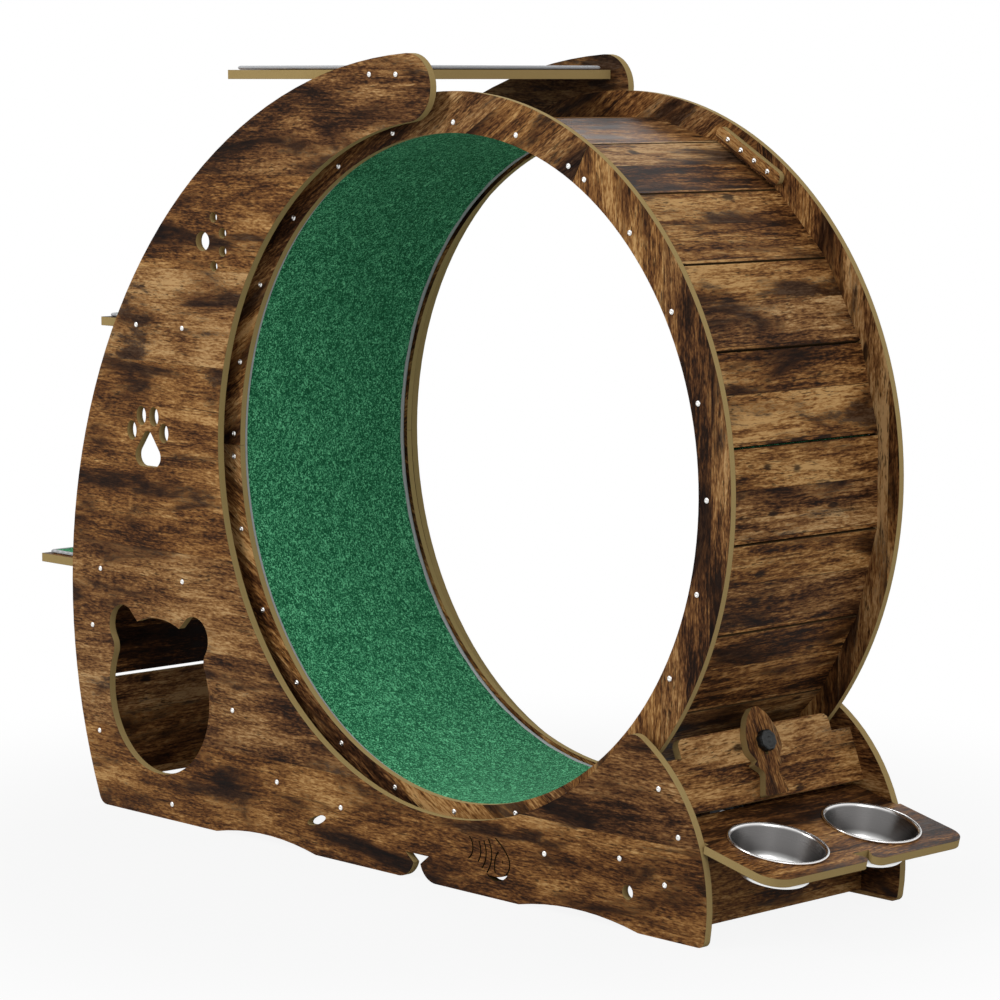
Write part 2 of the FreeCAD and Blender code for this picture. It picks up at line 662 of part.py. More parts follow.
def add_slot(sketch, centre, start, arcs, half):
    """A slot of a given half width along arcs that pass into one another."""
    outer, inner = [], []
    last_radius = arcs[0][0]
    first_cap = [around(centre, last_radius + side, start) for side in (-half, half)]
    for radius, end in arcs:
        centre = around(centre, last_radius - radius, start)
        outer.append(arc(centre, radius + half, min(start, end), max(start, end)))
        inner.append(arc(centre, radius - half, min(start, end), max(start, end)))
        start, last_radius = end, radius
    last_cap = [around(centre, last_radius + side, start) for side in (half, -half)]
    add_outline(sketch, [*outer, line(*last_cap), *inner[::-1], line(*first_cap)])


def add_bones(sketch):
    """The narrow slots and the eye of a fish skeleton."""
    length, middle = value("bone_size"), point(value("bone_shift"), value("bone_level"))
    for x, y, start, shares in BONES:
        arcs = [(share * length, end) for share, end in shares]
        add_slot(sketch, middle + point(x, y) * length, start, arcs, value("bone_slot") / 2)
    (x, y), half_high, half_wide = EYE
    add_oval(sketch, middle + point(x, y) * length, half_high * length, half_wide * length, 90)


def add_mouth(sketch):
    """The mouth of the fish skeleton, a crescent that joins its head and its last rib."""
    length, middle = value("bone_size"), point(value("bone_shift"), value("bone_level"))
    stops = [middle + point(x, y) * length for x, y in MOUTH]
    stops.append(stops[0])
    add_outline(sketch, [Part.Arc(*stops[start:start + 3]) for start in (0, 2, 4)])


def make_panel(label, outer_face):
    """A side panel; outer_face is the formula of the Y of its face nearer to +Y."""
    body = new_body(label, x="axle_x", y=outer_face)
    outline = new_sketch(body, "XZ_Plane", "outline")
    add_outline(outline, panel_outline())
    pad(body, outline, "board", "panel_thick")

    door = new_sketch(body, "XZ_Plane", "door_outline")
    add_outline(door, door_outline())
    pocket(body, door, "door")

    paws = new_sketch(body, "XZ_Plane", "paw_outlines")
    add_low_paw(paws)
    add_high_paw(paws)
    pocket(body, paws, "paw_prints")

    bones = new_sketch(body, "XZ_Plane", "bone_outlines")
    add_bones(bones)
    pocket(body, bones, "fish_bone")
    mouth = new_sketch(body, "XZ_Plane", "mouth_outline")
    add_mouth(mouth)
    pocket(body, mouth, "fish_mouth")

    holes = new_sketch(body, "XZ_Plane", "foot_holes")
    leaf = point(-value("leaf_shift"), value("foot_hole_level"))
    add_oval(holes, leaf, value("leaf_length / 2"), value("leaf_width / 2"), value("leaf_turn"))
    add_circle(holes, "foot_hole_shift", "foot_hole_level", "foot_hole_radius")
    pocket(body, holes, "holes")


make_panel("left_side_panel", "-panel_gap / 2")
make_panel("right_side_panel", "panel_outside")


# ---------------------------------------------------------------- flat boards and their mats

# Formulas of the places, ahead of the axle and above the floor, where a panel is screwed on.
PANEL_SCREWS = []


def flat_box(label, along, thick, across, up, tilt, width):
    """A box across the object, tilted up towards +X; across and up place its middle."""
    box = doc.addObject("Part::Box", label)
    box.Placement = FreeCAD.Placement(FreeCAD.Vector(), FreeCAD.Rotation(FreeCAD.Vector(0, -1, 0), 1))
    names = {"at": across, "up": up, "tilt": tilt, "along": along, "thick": thick}
    base_x = "axle_x + (%(at)s) - cos(%(tilt)s) * (%(along)s) / 2 + sin(%(tilt)s) * (%(thick)s) / 2"
    base_z = "(%(up)s) - sin(%(tilt)s) * (%(along)s) / 2 - cos(%(tilt)s) * (%(thick)s) / 2"
    bind(
        box,
        Length=along,
        Width=width,
        Height=thick,
        Placement__Rotation__Angle=tilt,
        Placement__Base__x=base_x % names,
        Placement__Base__y="-(%s) / 2" % width,
        Placement__Base__z=base_z % names,
    )
    return box


def board(label, along, thick, across, up, tilt="0"):
    """A board between the side panels, held by one screw at the middle of each end."""
    keep(flat_box(label, along, thick, across, up, tilt, "panel_gap"))
    PANEL_SCREWS.append((across, up))


def step(label, start, end, level, screw_inset, screw_pitch):
    """A step between two distances behind the axle, with a mat on it and two screws a side."""
    middle = "-(%s + %s) / 2" % (start, end)
    length = "%s - %s" % (end, start)
    keep(flat_box(label, length, "step_thick", middle, level, "0", "panel_gap"))
    mat_level = "%s + (step_thick + pad_thick) / 2 + mat_clear" % level
    keep(flat_box(
        label + "_mat", length + " - 2 * pad_inset", "pad_thick", middle, mat_level, "0",
        "panel_gap - 2 * pad_inset",
    ))
    PANEL_SCREWS.append(("-(%s + %s)" % (start, screw_inset), level))
    PANEL_SCREWS.append(("-(%s + %s + %s)" % (start, screw_inset, screw_pitch), level))


step("top_shelf", "top_front", "top_end", "top_level", "top_screw_inset", "top_screw_pitch")
step("middle_step", "middle_start", "middle_end", "middle_level",
     "middle_screw_inset", "middle_screw_pitch")
step("lower_step", "lower_start", "lower_end", "lower_level",
     "lower_screw_inset", "lower_screw_pitch")
board("house_upper_wall", "wall_height", "board_thick", "-high_wall_x", "high_wall_z",
      "90 + wall_tilt")
board("house_lower_wall", "wall_height", "board_thick", "-low_wall_x", "low_wall_z",
      "90 + wall_tilt")
board("house_floor", "house_depth", "board_thick", "-house_x", "floor_level")
board("rear_upper_guard", "guard_width", "board_thick", "-upper_guard_x", "upper_guard_z",
      "90 + upper_guard_angle")
board("rear_lower_guard", "guard_width", "board_thick", "-guard_x", "guard_z",
      "90 + guard_angle")
board("front_guard", "guard_width", "board_thick", "guard_x", "guard_z", "90 - guard_angle")
board("kick_board", "kick_top - kick_lift", "board_thick", "kick_x",
      "(kick_top + kick_lift) / 2", "90")


# ---------------------------------------------------------------- lock board and brake

# Bodies on the lock board have X down its slope, Y across and Z out of its front face, so an
# outline drawn with the slope upwards is turned by a quarter.
SLOPE_TURN = 90


def lock_body(label, outward):
    """A body on the lock board, its base the given distance out from the middle of the board."""
    return new_body(
        label,
        x="axle_x + lock_x + (%s) * cos(lock_tilt)" % outward,
        z="lock_z + (%s) * sin(lock_tilt)" % outward,
        turn="90 - lock_tilt",
    )


def mirrored(corners):
    """The corners of a right half followed by those of its mirror image."""
    return corners + [(point(-corner.x, corner.y), radius) for corner, radius in corners[::-1]]


def make_lock_board():
    """The slanting board below the wheel's front, raised between the two rings."""
    body = lock_body("lock_board", "-board_thick / 2")
    half, raised = value("panel_gap / 2"), value("drum_width / 2 - lock_ring_gap")
    corners = mirrored([
        (point(half, -value("lock_drop")), 0),
        (point(half, value("lock_tab_rise")), 0),
        (point(raised, value("lock_tab_rise")), 0),
        (point(raised, value("lock_rise")), value("lock_round")),
    ])
    outline = new_sketch(body, "XY_Plane", "outline")
    add_outline(outline, rounded(moved(corners, 0, 0, SLOPE_TURN)))
    pad(body, outline, "board", "board_thick")
    hole = new_sketch(body, "XY_Plane", "bolt_hole")
    add_circle(hole, "-bolt_rise", "0", "bolt_radius + running_clearance")
    pocket(body, hole, "bolt_bore")
    PANEL_SCREWS.append(("lock_x", "lock_z"))


# The right half of the fish from its tail to its head: half the width as a share of the
# plate's width, height as a share of its length, and radius as a share of its width.
FISH = [
    (0.36, 0.0, 0.05),
    (0.18, 0.26, 0.12),
    (0.45, 0.37, 0.02),
    (0.33, 0.40, 0.03),
    (0.50, 0.52, 0.25),
    (0.47, 0.71, 0.60),
    (0.30, 0.90, 0.40),
    (0.08, 1.0, 0.07),
]


def make_brake_plate():
    """A fish-shaped plate that slides up the lock board until its head meets the slats."""
    body = lock_body("brake_plate", "board_thick / 2 + fit_gap")
    width, drop, rise = value("plate_width"), value("plate_drop"), value("plate_rise")
    corners = mirrored([
        (point(across * width, up * (drop + rise) - drop), radius * width)
        for across, up, radius in FISH
    ])
    outline = new_sketch(body, "XY_Plane", "outline")
    add_outline(outline, rounded(moved(corners, 0, 0, SLOPE_TURN)))
    pad(body, outline, "plate", "plate_thick")

    wide = value("bolt_radius + slot_play")
    high, low = value("bolt_rise") + wide, value("bolt_rise - slot_travel") - wide
    corners = mirrored([(point(wide, low), wide * 0.999), (point(wide, high), wide * 0.999)])
    slot = new_sketch(body, "XY_Plane", "slot")
    add_outline(slot, rounded(moved(corners, 0, 0, SLOPE_TURN)))
    pocket(body, slot, "guide_slot")


def make_knob():
    """A lobed knob that is screwed on the bolt and clamps the brake plate."""
    body = lock_body("brake_knob", "board_thick / 2 + plate_thick + 2 * fit_gap")
    middle = point(-value("bolt_rise"), 0)
    radius, hollow = value("knob_radius"), value("knob_radius - knob_hollow")
    lobes = int(value("knob_lobes"))
    pitch = 360 / lobes
    edges = []
    for lobe in range(lobes):
        start = lobe * pitch
        ends = [around(middle, radius, start + pitch * share) for share in (0.0, 0.6, 1.0)]
        edges.append(Part.Arc(ends[0], around(middle, radius, start + pitch * 0.3), ends[1]))
        edges.append(Part.Arc(ends[1], around(middle, hollow, start + pitch * 0.8), ends[2]))
    outline = new_sketch(body, "XY_Plane", "outline")
    add_outline(outline, edges)
    pad(body, outline, "handle", "knob_thick")
    hole = new_sketch(body, "XY_Plane", "bolt_hole")
    add_circle(hole, "-bolt_rise", "0", "bolt_radius + running_clearance")
    doc.recompute()
    bore = body.newObject("PartDesign::Pocket", "bolt_bore")
    bore.Profile = hole
    bind(bore, Length="knob_thick - knob_cap")
    bore.Reversed = True


def make_lock_bolt():
    """The bolt: its head behind the lock board, its end inside the knob."""
    bolt, head = value("bolt_radius"), value("bolt_head_radius")
    low, seat = -value("board_thick / 2 + bolt_head_thick"), -value("board_thick / 2")
    end = value("board_thick / 2 + plate_thick + 2 * fit_gap + knob_thick - knob_cap - fit_gap")
    turned(
        "lock_bolt",
        "XZ_Plane",
        [
            (point(0, low), 0),
            (point(head, low), 0),
            (point(head, seat), 0),
            (point(bolt, seat), 0),
            (point(bolt, end), 0),
            (point(0, end), 0),
        ],
        x="axle_x + lock_x - bolt_rise * sin(lock_tilt)",
        z="lock_z + bolt_rise * cos(lock_tilt)",
        turn="90 - lock_tilt",
    )


make_lock_board()
make_brake_plate()
make_knob()
make_lock_bolt()


# ---------------------------------------------------------------- bowl shelf and bowls

def make_bowl_shelf():
    """The slanting shelf: narrow between the panels, wide ahead of them, with two holes."""
    body = new_body(
        "bowl_shelf",
        x="axle_x + shelf_x - board_thick * sin(shelf_tilt)",
        z="shelf_z - board_thick * cos(shelf_tilt)",
        turn="shelf_tilt",
    )
    narrow, wide = value("panel_gap / 2"), value("panel_gap / 2 + shelf_lap")
    back, front, shoulder = -value("shelf_back"), value("shelf_front"), -value("shoulder")
    notch = fish_tail(
        value("shelf_notch_depth"),
        value("shelf_notch_flare"),
        value("notch_neck"),
        value("shelf_notch_neck_level"),
        value("shelf_notch_mouth"),
    )
    near_side = [
        (point(back, -narrow), 0),
        (point(shoulder, -narrow), 0),
        (point(shoulder, -wide), 0),
        (point(front, -wide), value("shelf_round")),
    ]
    far_side = [(point(corner.x, -corner.y), radius) for corner, radius in near_side[::-1]]
    outline = new_sketch(body, "XY_Plane", "outline")
    add_outline(outline, rounded(near_side + moved(notch, front, 0, 90) + far_side))
    pad(body, outline, "board", "board_thick")
    holes = new_sketch(body, "XY_Plane", "bowl_holes")
    add_circle(holes, "bowl_ahead", "bowl_spacing / 2", "bowl_hole")
    add_circle(holes, "bowl_ahead", "-bowl_spacing / 2", "bowl_hole")
    pocket(body, holes, "bowl_openings")
    PANEL_SCREWS.append((
        "shelf_x - shelf_screw_back * cos(shelf_tilt) - board_thick / 2 * sin(shelf_tilt)",
        "shelf_z + shelf_screw_back * sin(shelf_tilt) - board_thick / 2 * cos(shelf_tilt)",
    ))


def make_bowl(label, side):
    """A steel bowl whose rim, bent down at its edge, rests on the shelf around the hole."""
    wall, rim, height = value("bowl_wall"), value("bowl_radius + rim_width"), value("rim_height")
    foot, depth, bevel = value("bowl_foot"), value("bowl_depth"), value("bowl_bevel")
    inside = value("bowl_radius")
    outline = [
        point(0, -depth),
        point(foot - bevel, -depth),
        point(foot, bevel - depth),
        point(inside + wall, height - wall),
        point(rim - wall, height - wall),
        point(rim - wall, 0),
        point(rim, 0),
        point(rim, height),
        point(inside, height),
        point(foot - wall, bevel - depth),
        point(foot - bevel - wall, wall - depth),
        point(0, wall - depth),
    ]
    turned(
        label,
        "XZ_Plane",
        [(corner, 0) for corner in outline],
        x="axle_x + shelf_x + bowl_ahead * cos(shelf_tilt) + fit_gap * sin(shelf_tilt)",
        y="%s bowl_spacing / 2" % side,
        z="shelf_z - bowl_ahead * sin(shelf_tilt) + fit_gap * cos(shelf_tilt)",
        turn="shelf_tilt",
    )


make_bowl_shelf()
make_bowl("left_bowl", "-1 *")
make_bowl("right_bowl", "1 *")


# ---------------------------------------------------------------- the running wheel

# The pieces of a ring, by the direction in which each starts and ends.
RING_PIECES = [("upper", 60, 180), ("lower", 180, 300), ("front", 300, 420)]
# The seams between them.
SEAMS = [("rear", 180), ("lower", 300), ("upper", 60)]


def make_ring_piece(label, start, end, outer_face):
    """A third of a ring, cut from board."""
    body = new_body(label, x="axle_x", y=outer_face)
    axle = point(0, value("axle_height"))
    outer, inner = value("wheel_radius"), value("ring_inner")
    gap = math.degrees(value("seam_gap / 2") / outer)
    start, end = start + gap, end - gap
    outline = new_sketch(body, "XZ_Plane", "outline")
    add_outline(outline, [
        arc(axle, outer, start, end),
        line(around(axle, outer, end), around(axle, inner, end)),
        arc(axle, inner, start, end),
        line(around(axle, inner, start), around(axle, outer, start)),
    ])
    pad(body, outline, "board", "ring_thick")


def make_splice(label, seam, outer_face):
    """The bar behind a seam, screwed to both ring pieces."""
    body = new_body(label, x="axle_x", y=outer_face)
    axle = point(0, value("axle_height"))
    middle = around(axle, value("splice_middle"), seam)
    long, wide, bend = value("splice_length / 2"), value("splice_width / 2"), value("splice_round")
    corners = mirrored([(point(wide, -long), bend), (point(wide, long), bend)])
    outline = new_sketch(body, "XZ_Plane", "outline")
    add_outline(outline, rounded(moved(corners, middle.x, middle.y, seam)))
    pad(body, outline, "bar", "splice_thick")


def make_slats():
    """The slats of the drum in three groups, like the ring pieces that they start at."""
    count = int(value("slat_count"))
    groups = [("upper", []), ("front", []), ("lower", [])]
    for number in range(count):
        angle = 180 - number * 360 / count
        slat = flat_box(
            "slat_%02d" % (number + 1), "slat_width", "slat_thick",
            "slat_middle * cos(%r)" % angle, "axle_height + slat_middle * sin(%r)" % angle,
            "%r" % (angle - 90), "drum_width",
        )
        groups[number * len(groups) // count][1].append(slat)
    for name, slats in groups:
        group = keep(doc.addObject("Part::Compound", "slats_" + name))
        group.Links = slats


def ring_of_corners(apothem):
    """The corners of the polygon whose sides lie along the slats."""
    count = int(value("slat_count"))
    radius = apothem / cosine(180 / count)
    axle = point(0, value("axle_height"))
    return [(around(axle, radius, (side + 0.5) * 360 / count), 0) for side in range(count)]


def make_running_mat():
    """The mat inside the drum, bent along the slats."""
    body = new_body("running_mat", x="axle_x", y="drum_width / 2 - mat_clear")
    outline = new_sketch(body, "XZ_Plane", "outline")
    outside = value("slat_inner - mat_clear")
    add_outline(outline, rounded(ring_of_corners(outside)))
    add_outline(outline, rounded(ring_of_corners(outside - value("mat_thick"))))
    pad(body, outline, "mat", "drum_width - 2 * mat_clear")


for side, ring_face, splice_face in (
    ("left", "-drum_width / 2", "-drum_width / 2 + splice_thick"),
    ("right", "ring_outside", "drum_width / 2"),
):
    for name, start, end in RING_PIECES:
        make_ring_piece("%s_ring_%s" % (side, name), start, end, ring_face)
    for name, seam in SEAMS:
        make_splice("%s_%s_splice" % (side, name), seam, splice_face)
make_slats()
make_running_mat()


# ---------------------------------------------------------------- rollers, rods and spacers

def rod_cylinder(label, radius, length, across, start):
    """A cylinder along Y on the line of a rod, from the given start."""
    cylinder = doc.addObject("Part::Cylinder", label)
    cylinder.Placement = FreeCAD.Placement(
        FreeCAD.Vector(), FreeCAD.Rotation(FreeCAD.Vector(1, 0, 0), -90)
    )
    bind(
        cylinder,
        Radius=radius,
        Height=length,
        Placement__Base__x="axle_x + (%s)" % across,
        Placement__Base__y=start,
        Placement__Base__z="roller_z",
    )
    return cylinder


def make_spacers():
    """On each rod, a tube between the two rollers and one from each roller to its panel."""
    outer = "panel_gap / 2 - roller_y - roller_width / 2 - side_play"
    inner = "roller_y - roller_width / 2 - side_play"
    tubes = []
    for across in ("-roller_x", "roller_x"):
        for length, start in (
            (outer, "-panel_gap / 2"),
            ("2 * (%s)" % inner, "-(%s)" % inner),
            (outer, "panel_gap / 2 - (%s)" % outer),
        ):
            number = len(tubes) + 1
            tube = doc.addObject("Part::Cut", "tube_%d" % number)
            tube.Base = rod_cylinder("tube_%d_outside" % number, "spacer_radius", length, across, start)
            tube.Tool = rod_cylinder("tube_%d_bore" % number, "rod_radius", length, across, start)
            tubes.append(tube)
    group = keep(doc.addObject("Part::Compound", "roller_spacers"))
    group.Links = tubes


def make_roller(label, across, along_axle):
    """A grooved roller that turns on its rod."""
    bore = value("rod_radius + running_clearance")
    groove, flange = value("roller_radius"), value("roller_radius + flange_height")
    half, half_groove = value("roller_width / 2"), value("(ring_thick + groove_play) / 2")
    turned(
        label,
        "XY_Plane",
        [
            (point(bore, -half), 0),
            (point(flange, -half), 0),
            (point(flange, -half_groove), 0),
            (point(groove, -half_groove), 0),
            (point(groove, half_groove), 0),
            (point(flange, half_groove), 0),
            (point(flange, half), 0),
            (point(bore, half), 0),
        ],
        x="axle_x + %s" % across,
        y=along_axle,
        z="roller_z",
    )


for end, across in (("rear", "-1 * roller_x"), ("front", "1 * roller_x")):
    keep(rod_cylinder(end + "_roller_rod", "rod_radius", "panel_gap", across, "-panel_gap / 2"))
    PANEL_SCREWS.append((across, "roller_z"))
    make_roller("left_%s_roller" % end, across, "-roller_y")
    make_roller("right_%s_roller" % end, across, "roller_y")
make_spacers()


# ---------------------------------------------------------------- screws

# Sides of a screw head.
HEAD_SIDES = 6
# Turns that point a screw head out of the left and out of the right side.
LEFTWARD, RIGHTWARD = 90, -90


def screw_heads(label, seats, face, turn):
    """Separate screw heads that share one node, on a face given by its Y."""
    heads = []
    for across, up in seats:
        head = doc.addObject("Part::Prism", "%s_%02d" % (label, len(heads) + 1))
        head.Polygon = HEAD_SIDES
        head.Placement = FreeCAD.Placement(
            FreeCAD.Vector(), FreeCAD.Rotation(FreeCAD.Vector(1, 0, 0), turn)
        )
        bind(
            head,
            Circumradius="screw_head",
            Height="screw_rise",
            Placement__Base__x="axle_x + (%s)" % across,
            Placement__Base__y=face,
            Placement__Base__z=up,
        )
        heads.append(head)
    group = keep(doc.addObject("Part::Compound", label))
    group.Links = heads


def on_wheel(radius, degrees, aside="0"):
    """Formulas of a place on the wheel: its radius, its direction and a shift along the rim."""
    names = {"radius": radius, "turn": "%.6f" % degrees, "aside": aside}
    return (
        "%(radius)s * cos(%(turn)s) - (%(aside)s) * sin(%(turn)s)" % names,
        "axle_height + %(radius)s * sin(%(turn)s) + (%(aside)s) * cos(%(turn)s)" % names,
    )


def ring_screw_seats():
    """A ring is screwed to the slats beside each seam and at each slat between."""
    count = int(value("slat_count"))
    beside = math.degrees(value("seam_screw / slat_middle"))
    slats = [number * 360 / count for number in range(count * 2)]
    angles = []
    for name, start, end in RING_PIECES:
        between = [slat for slat in slats if start + 2 * beside < slat < end - 2 * beside]
        angles.extend([start + beside, *between, end - beside])
    return [on_wheel("slat_middle", angle) for angle in angles]


def splice_screw_seats():
    """Each splice bar has a row of four screws."""
    row = ["%.1f * splice_screw_pitch" % steps for steps in (-1.5, -0.5, 0.5, 1.5)]
    return [on_wheel("splice_middle", seam, aside) for name, seam in SEAMS for aside in row]


screw_heads("left_panel_screws", PANEL_SCREWS, "-panel_outside", LEFTWARD)
screw_heads("right_panel_screws", PANEL_SCREWS, "panel_outside", RIGHTWARD)
screw_heads("left_ring_screws", ring_screw_seats(), "-ring_outside", LEFTWARD)
screw_heads("right_ring_screws", ring_screw_seats(), "ring_outside", RIGHTWARD)
screw_heads("left_splice_screws", splice_screw_seats(), "-(drum_width / 2 - splice_thick)", RIGHTWARD)
screw_heads("right_splice_screws", splice_screw_seats(), "drum_width / 2 - splice_thick", LEFTWARD)


# ---------------------------------------------------------------- checks and files

doc.recompute()
for item in doc.Objects:
    faults = [word for word in item.State if word in ("Invalid", "Error")]
    if faults:
        raise ValueError("%s is %s" % (item.Label, faults))
for item in PARTS:
    if item.Shape.isNull() or not item.Shape.isValid():
        raise ValueError("the shape of %s is not valid" % item.Label)

os.makedirs("parts", exist_ok=True)
for item in PARTS:
    item.Shape.exportStep("parts/%s.step" % item.Label)
    print("%-22s %12.0f mm3, %d solids" % (item.Label, item.Shape.Volume, len(item.Shape.Solids)))
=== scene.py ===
# %% [markdown]
# # A running wheel for a cat, dressed for its picture
#
# The real thing is a kit of printed boards: two big side panels with a drum between them,
# steps and a shelf to climb, a sleeping box behind a door, and two steel bowls in front.
# The boards come from the model as they are. This lesson gives each of them its printed
# wood and its raw edge, and makes the soft, rolled and moulded pieces that a plain solid
# can't show: the mats, the bowls, the knob, the rollers and the screw heads.

# %% Load the frame
import json
import math

import bpy
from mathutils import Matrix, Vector


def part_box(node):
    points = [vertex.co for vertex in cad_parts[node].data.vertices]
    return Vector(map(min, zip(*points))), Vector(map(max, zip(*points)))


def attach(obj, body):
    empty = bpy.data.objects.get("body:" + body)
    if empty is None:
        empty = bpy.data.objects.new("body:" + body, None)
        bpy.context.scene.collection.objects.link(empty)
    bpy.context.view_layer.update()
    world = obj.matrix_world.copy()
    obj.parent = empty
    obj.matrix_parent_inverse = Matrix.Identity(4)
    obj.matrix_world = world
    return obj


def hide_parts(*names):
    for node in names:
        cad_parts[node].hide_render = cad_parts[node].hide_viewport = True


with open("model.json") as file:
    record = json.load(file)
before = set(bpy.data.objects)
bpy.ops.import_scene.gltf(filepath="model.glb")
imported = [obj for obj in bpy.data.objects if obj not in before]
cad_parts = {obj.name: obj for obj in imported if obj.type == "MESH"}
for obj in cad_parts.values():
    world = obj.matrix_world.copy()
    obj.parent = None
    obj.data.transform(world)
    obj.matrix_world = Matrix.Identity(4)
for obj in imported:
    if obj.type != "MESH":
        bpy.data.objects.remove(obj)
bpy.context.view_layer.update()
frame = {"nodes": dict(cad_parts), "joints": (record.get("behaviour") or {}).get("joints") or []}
joints = {joint["name"]: joint for joint in frame["joints"]}
MM = 0.001
UP = Vector((0, 0, 1))
ACROSS = Vector((0, 1, 0))
AHEAD = Vector((1, 0, 0))
AXLE = Vector(joints["wheel_spin"]["pos_m"])
print("pieces in the frame:", len(frame["nodes"]))

# %% [markdown]
# ## Measuring the frame
#
# Every new piece is measured off the model that it belongs to, so that it fits without
# being moved. The reach of a piece along a direction is all that most of them need.

# %% Measure a piece along a direction


def reach(node, direction):
    """How far a piece of the frame reaches along a direction: its lowest and highest place."""
    places = [corner.co.dot(direction) for corner in frame["nodes"][node].data.vertices]
    return min(places), max(places)


print("panel thickness, mm:", [round(y / MM, 1) for y in reach("left_side_panel", ACROSS)])

# %% [markdown]
# ## Colours
#
# Paint charts and screens give a colour as three numbers up to 255. The renderer wants
# the amount of light instead, which grows much faster than those numbers do.

# %% Turn a chart colour into light


def tint(red, green, blue):
    """A colour as it looks on a screen, turned into the light that the renderer works with."""
    def light(level):
        share = level / 255
        return share / 12.92 if share < 0.04 else ((share + 0.055) / 1.055) ** 2.4
    return light(red), light(green), light(blue), 1.0


print("raw board edge as light:", [round(part, 3) for part in tint(163, 140, 93)])

# %% [markdown]
# ## A finish written as sums
#
# A printed or woven surface is worked out point by point: streaks here, a burnt patch
# there. Written as nodes, each plus and minus is a box with wires. The small class below
# wraps one output of a node, so that the sums can be written as sums and the boxes follow.

# %% Wrap a node's output


class Signal:
    """What comes out of a node. Sums and comparisons on it add Math nodes."""

    def __init__(self, finish, socket):
        self.finish, self.socket = finish, socket

    def math(self, operation, *values):
        return self.finish.node("Math", {"operation": operation}, dict(enumerate(values)))

    def __add__(self, other):
        return self.math("ADD", self, other)

    def __sub__(self, other):
        return self.math("SUBTRACT", self, other)

    def __mul__(self, other):
        return self.math("MULTIPLY", self, other)

    def __truediv__(self, other):
        return self.math("DIVIDE", self, other)

    def __gt__(self, other):
        return self.math("GREATER_THAN", self, other)

    def __lt__(self, other):
        return self.math("LESS_THAN", self, other)

    def __rsub__(self, other):
        return self.math("SUBTRACT", other, self)

    def __abs__(self):
        return self.math("ABSOLUTE", self)

    __radd__ = __add__
    __rmul__ = __mul__

    def whole(self):
        return self.math("FLOOR", self)

    def rest(self):
        return self.math("FRACT", self)

    def root(self):
        return self.math("SQRT", self)

    def turn(self, ahead):
        """The angle of a place: this signal is how far up it is, and ahead how far ahead."""
        return self.math("ARCTAN2", self, ahead)

    def between(self, low, high):
        """0 at low and below, 1 at high and above, and a soft step between the two."""
        return self.finish.node(
            "MapRange", {"interpolation_type": "SMOOTHSTEP"}, {0: self, 1: low, 2: high}
        )


print("sums that a signal knows:", [name for name in vars(Signal) if name.startswith("__")])

# %% [markdown]
# ## A finish and its nodes
#
# One method makes any node at all: its settings first, then what goes into its sockets.
# The rest are short names for the few things that every finish here asks for.

# %% Make a finish


class Finish:
    """A material that is built from nodes. Steady values go straight on its shader."""

    def __init__(self, name, steady=None):
        self.material = bpy.data.materials.new(name)
        self.material.use_nodes = True
        self.tree = self.material.node_tree
        self.shader = self.tree.nodes["Principled BSDF"]
        for socket, value in (steady or {}).items():
            self.shader.inputs[socket].default_value = value
        places = self.tree.nodes.new("ShaderNodeTexCoord")
        self.place = Signal(self, places.outputs["Object"])
        self.normal = Signal(self, places.outputs["Normal"])

    def feed(self, socket, given):
        if isinstance(given, Signal):
            self.tree.links.new(given.socket, socket)
        else:
            socket.default_value = given

    def node(self, kind, settings=None, inputs=None, output=0):
        made = self.tree.nodes.new("ShaderNode" + kind)
        settings = dict(settings or {})
        stops = settings.pop("stops", [])
        for name, setting in settings.items():
            setattr(made, name, setting)
        for place, colour in stops[2:]:
            made.color_ramp.elements.new(place)
        for stop, (place, colour) in zip(made.color_ramp.elements if stops else [], stops):
            stop.position, stop.color = place, colour
        for name, given in (inputs or {}).items():
            self.feed(made.inputs[name], given)
        return Signal(self, made.outputs[output])

    def along(self, direction):
        """The place along a direction, in metres."""
        inputs = {0: self.place, 1: tuple(direction)}
        return self.node("VectorMath", {"operation": "DOT_PRODUCT"}, inputs, "Value")

    def point(self, x, y, z=0.0):
        return self.node("CombineXYZ", None, {"X": x, "Y": y, "Z": z})

    def noise(self, place, scale, detail=3.0, roughness=0.5, distortion=0.0):
        inputs = {"Vector": place, "Scale": scale, "Detail": detail}
        inputs.update({"Roughness": roughness, "Distortion": distortion})
        return self.node("TexNoise", None, inputs)

    def chance(self, number):
        """A steady random number for each whole number."""
        return self.node("TexWhiteNoise", {"noise_dimensions": "1D"}, {"W": number})

    def blend(self, share, first, second, kind="MIX"):
        settings = {"data_type": "RGBA", "blend_type": kind, "clamp_factor": True}
        return self.node("Mix", settings, {0: share, 6: first, 7: second}, 2)

    def ramp(self, value, *stops):
        return self.node("ValToRGB", {"stops": list(stops)}, {"Fac": value})

    def bump(self, height, distance, strength=1.0):
        inputs = {"Height": height, "Distance": distance, "Strength": strength}
        return self.node("Bump", None, inputs)

    def show(self, **sockets):
        """Feeds what varies over the surface to the shader."""
        for name, signal in sockets.items():
            self.feed(self.shader.inputs[name.replace("_", " ").title()], signal)
        return self.material


print("finishes can be made")

# %% [markdown]
# ## The printed wood
#
# The boards wear a printed film of old, scorched planks. Seen close it has layers: planks
# of differing tone laid edge to edge, long streaks of grain, fine dark fibres, scorched
# patches with soft edges, short dark dashes, hairline cracks and a knot here and there.
# A photograph of wood would be one way to get it. Working it out from noise stretched
# along the grain keeps it sharp at any distance and different on every board.

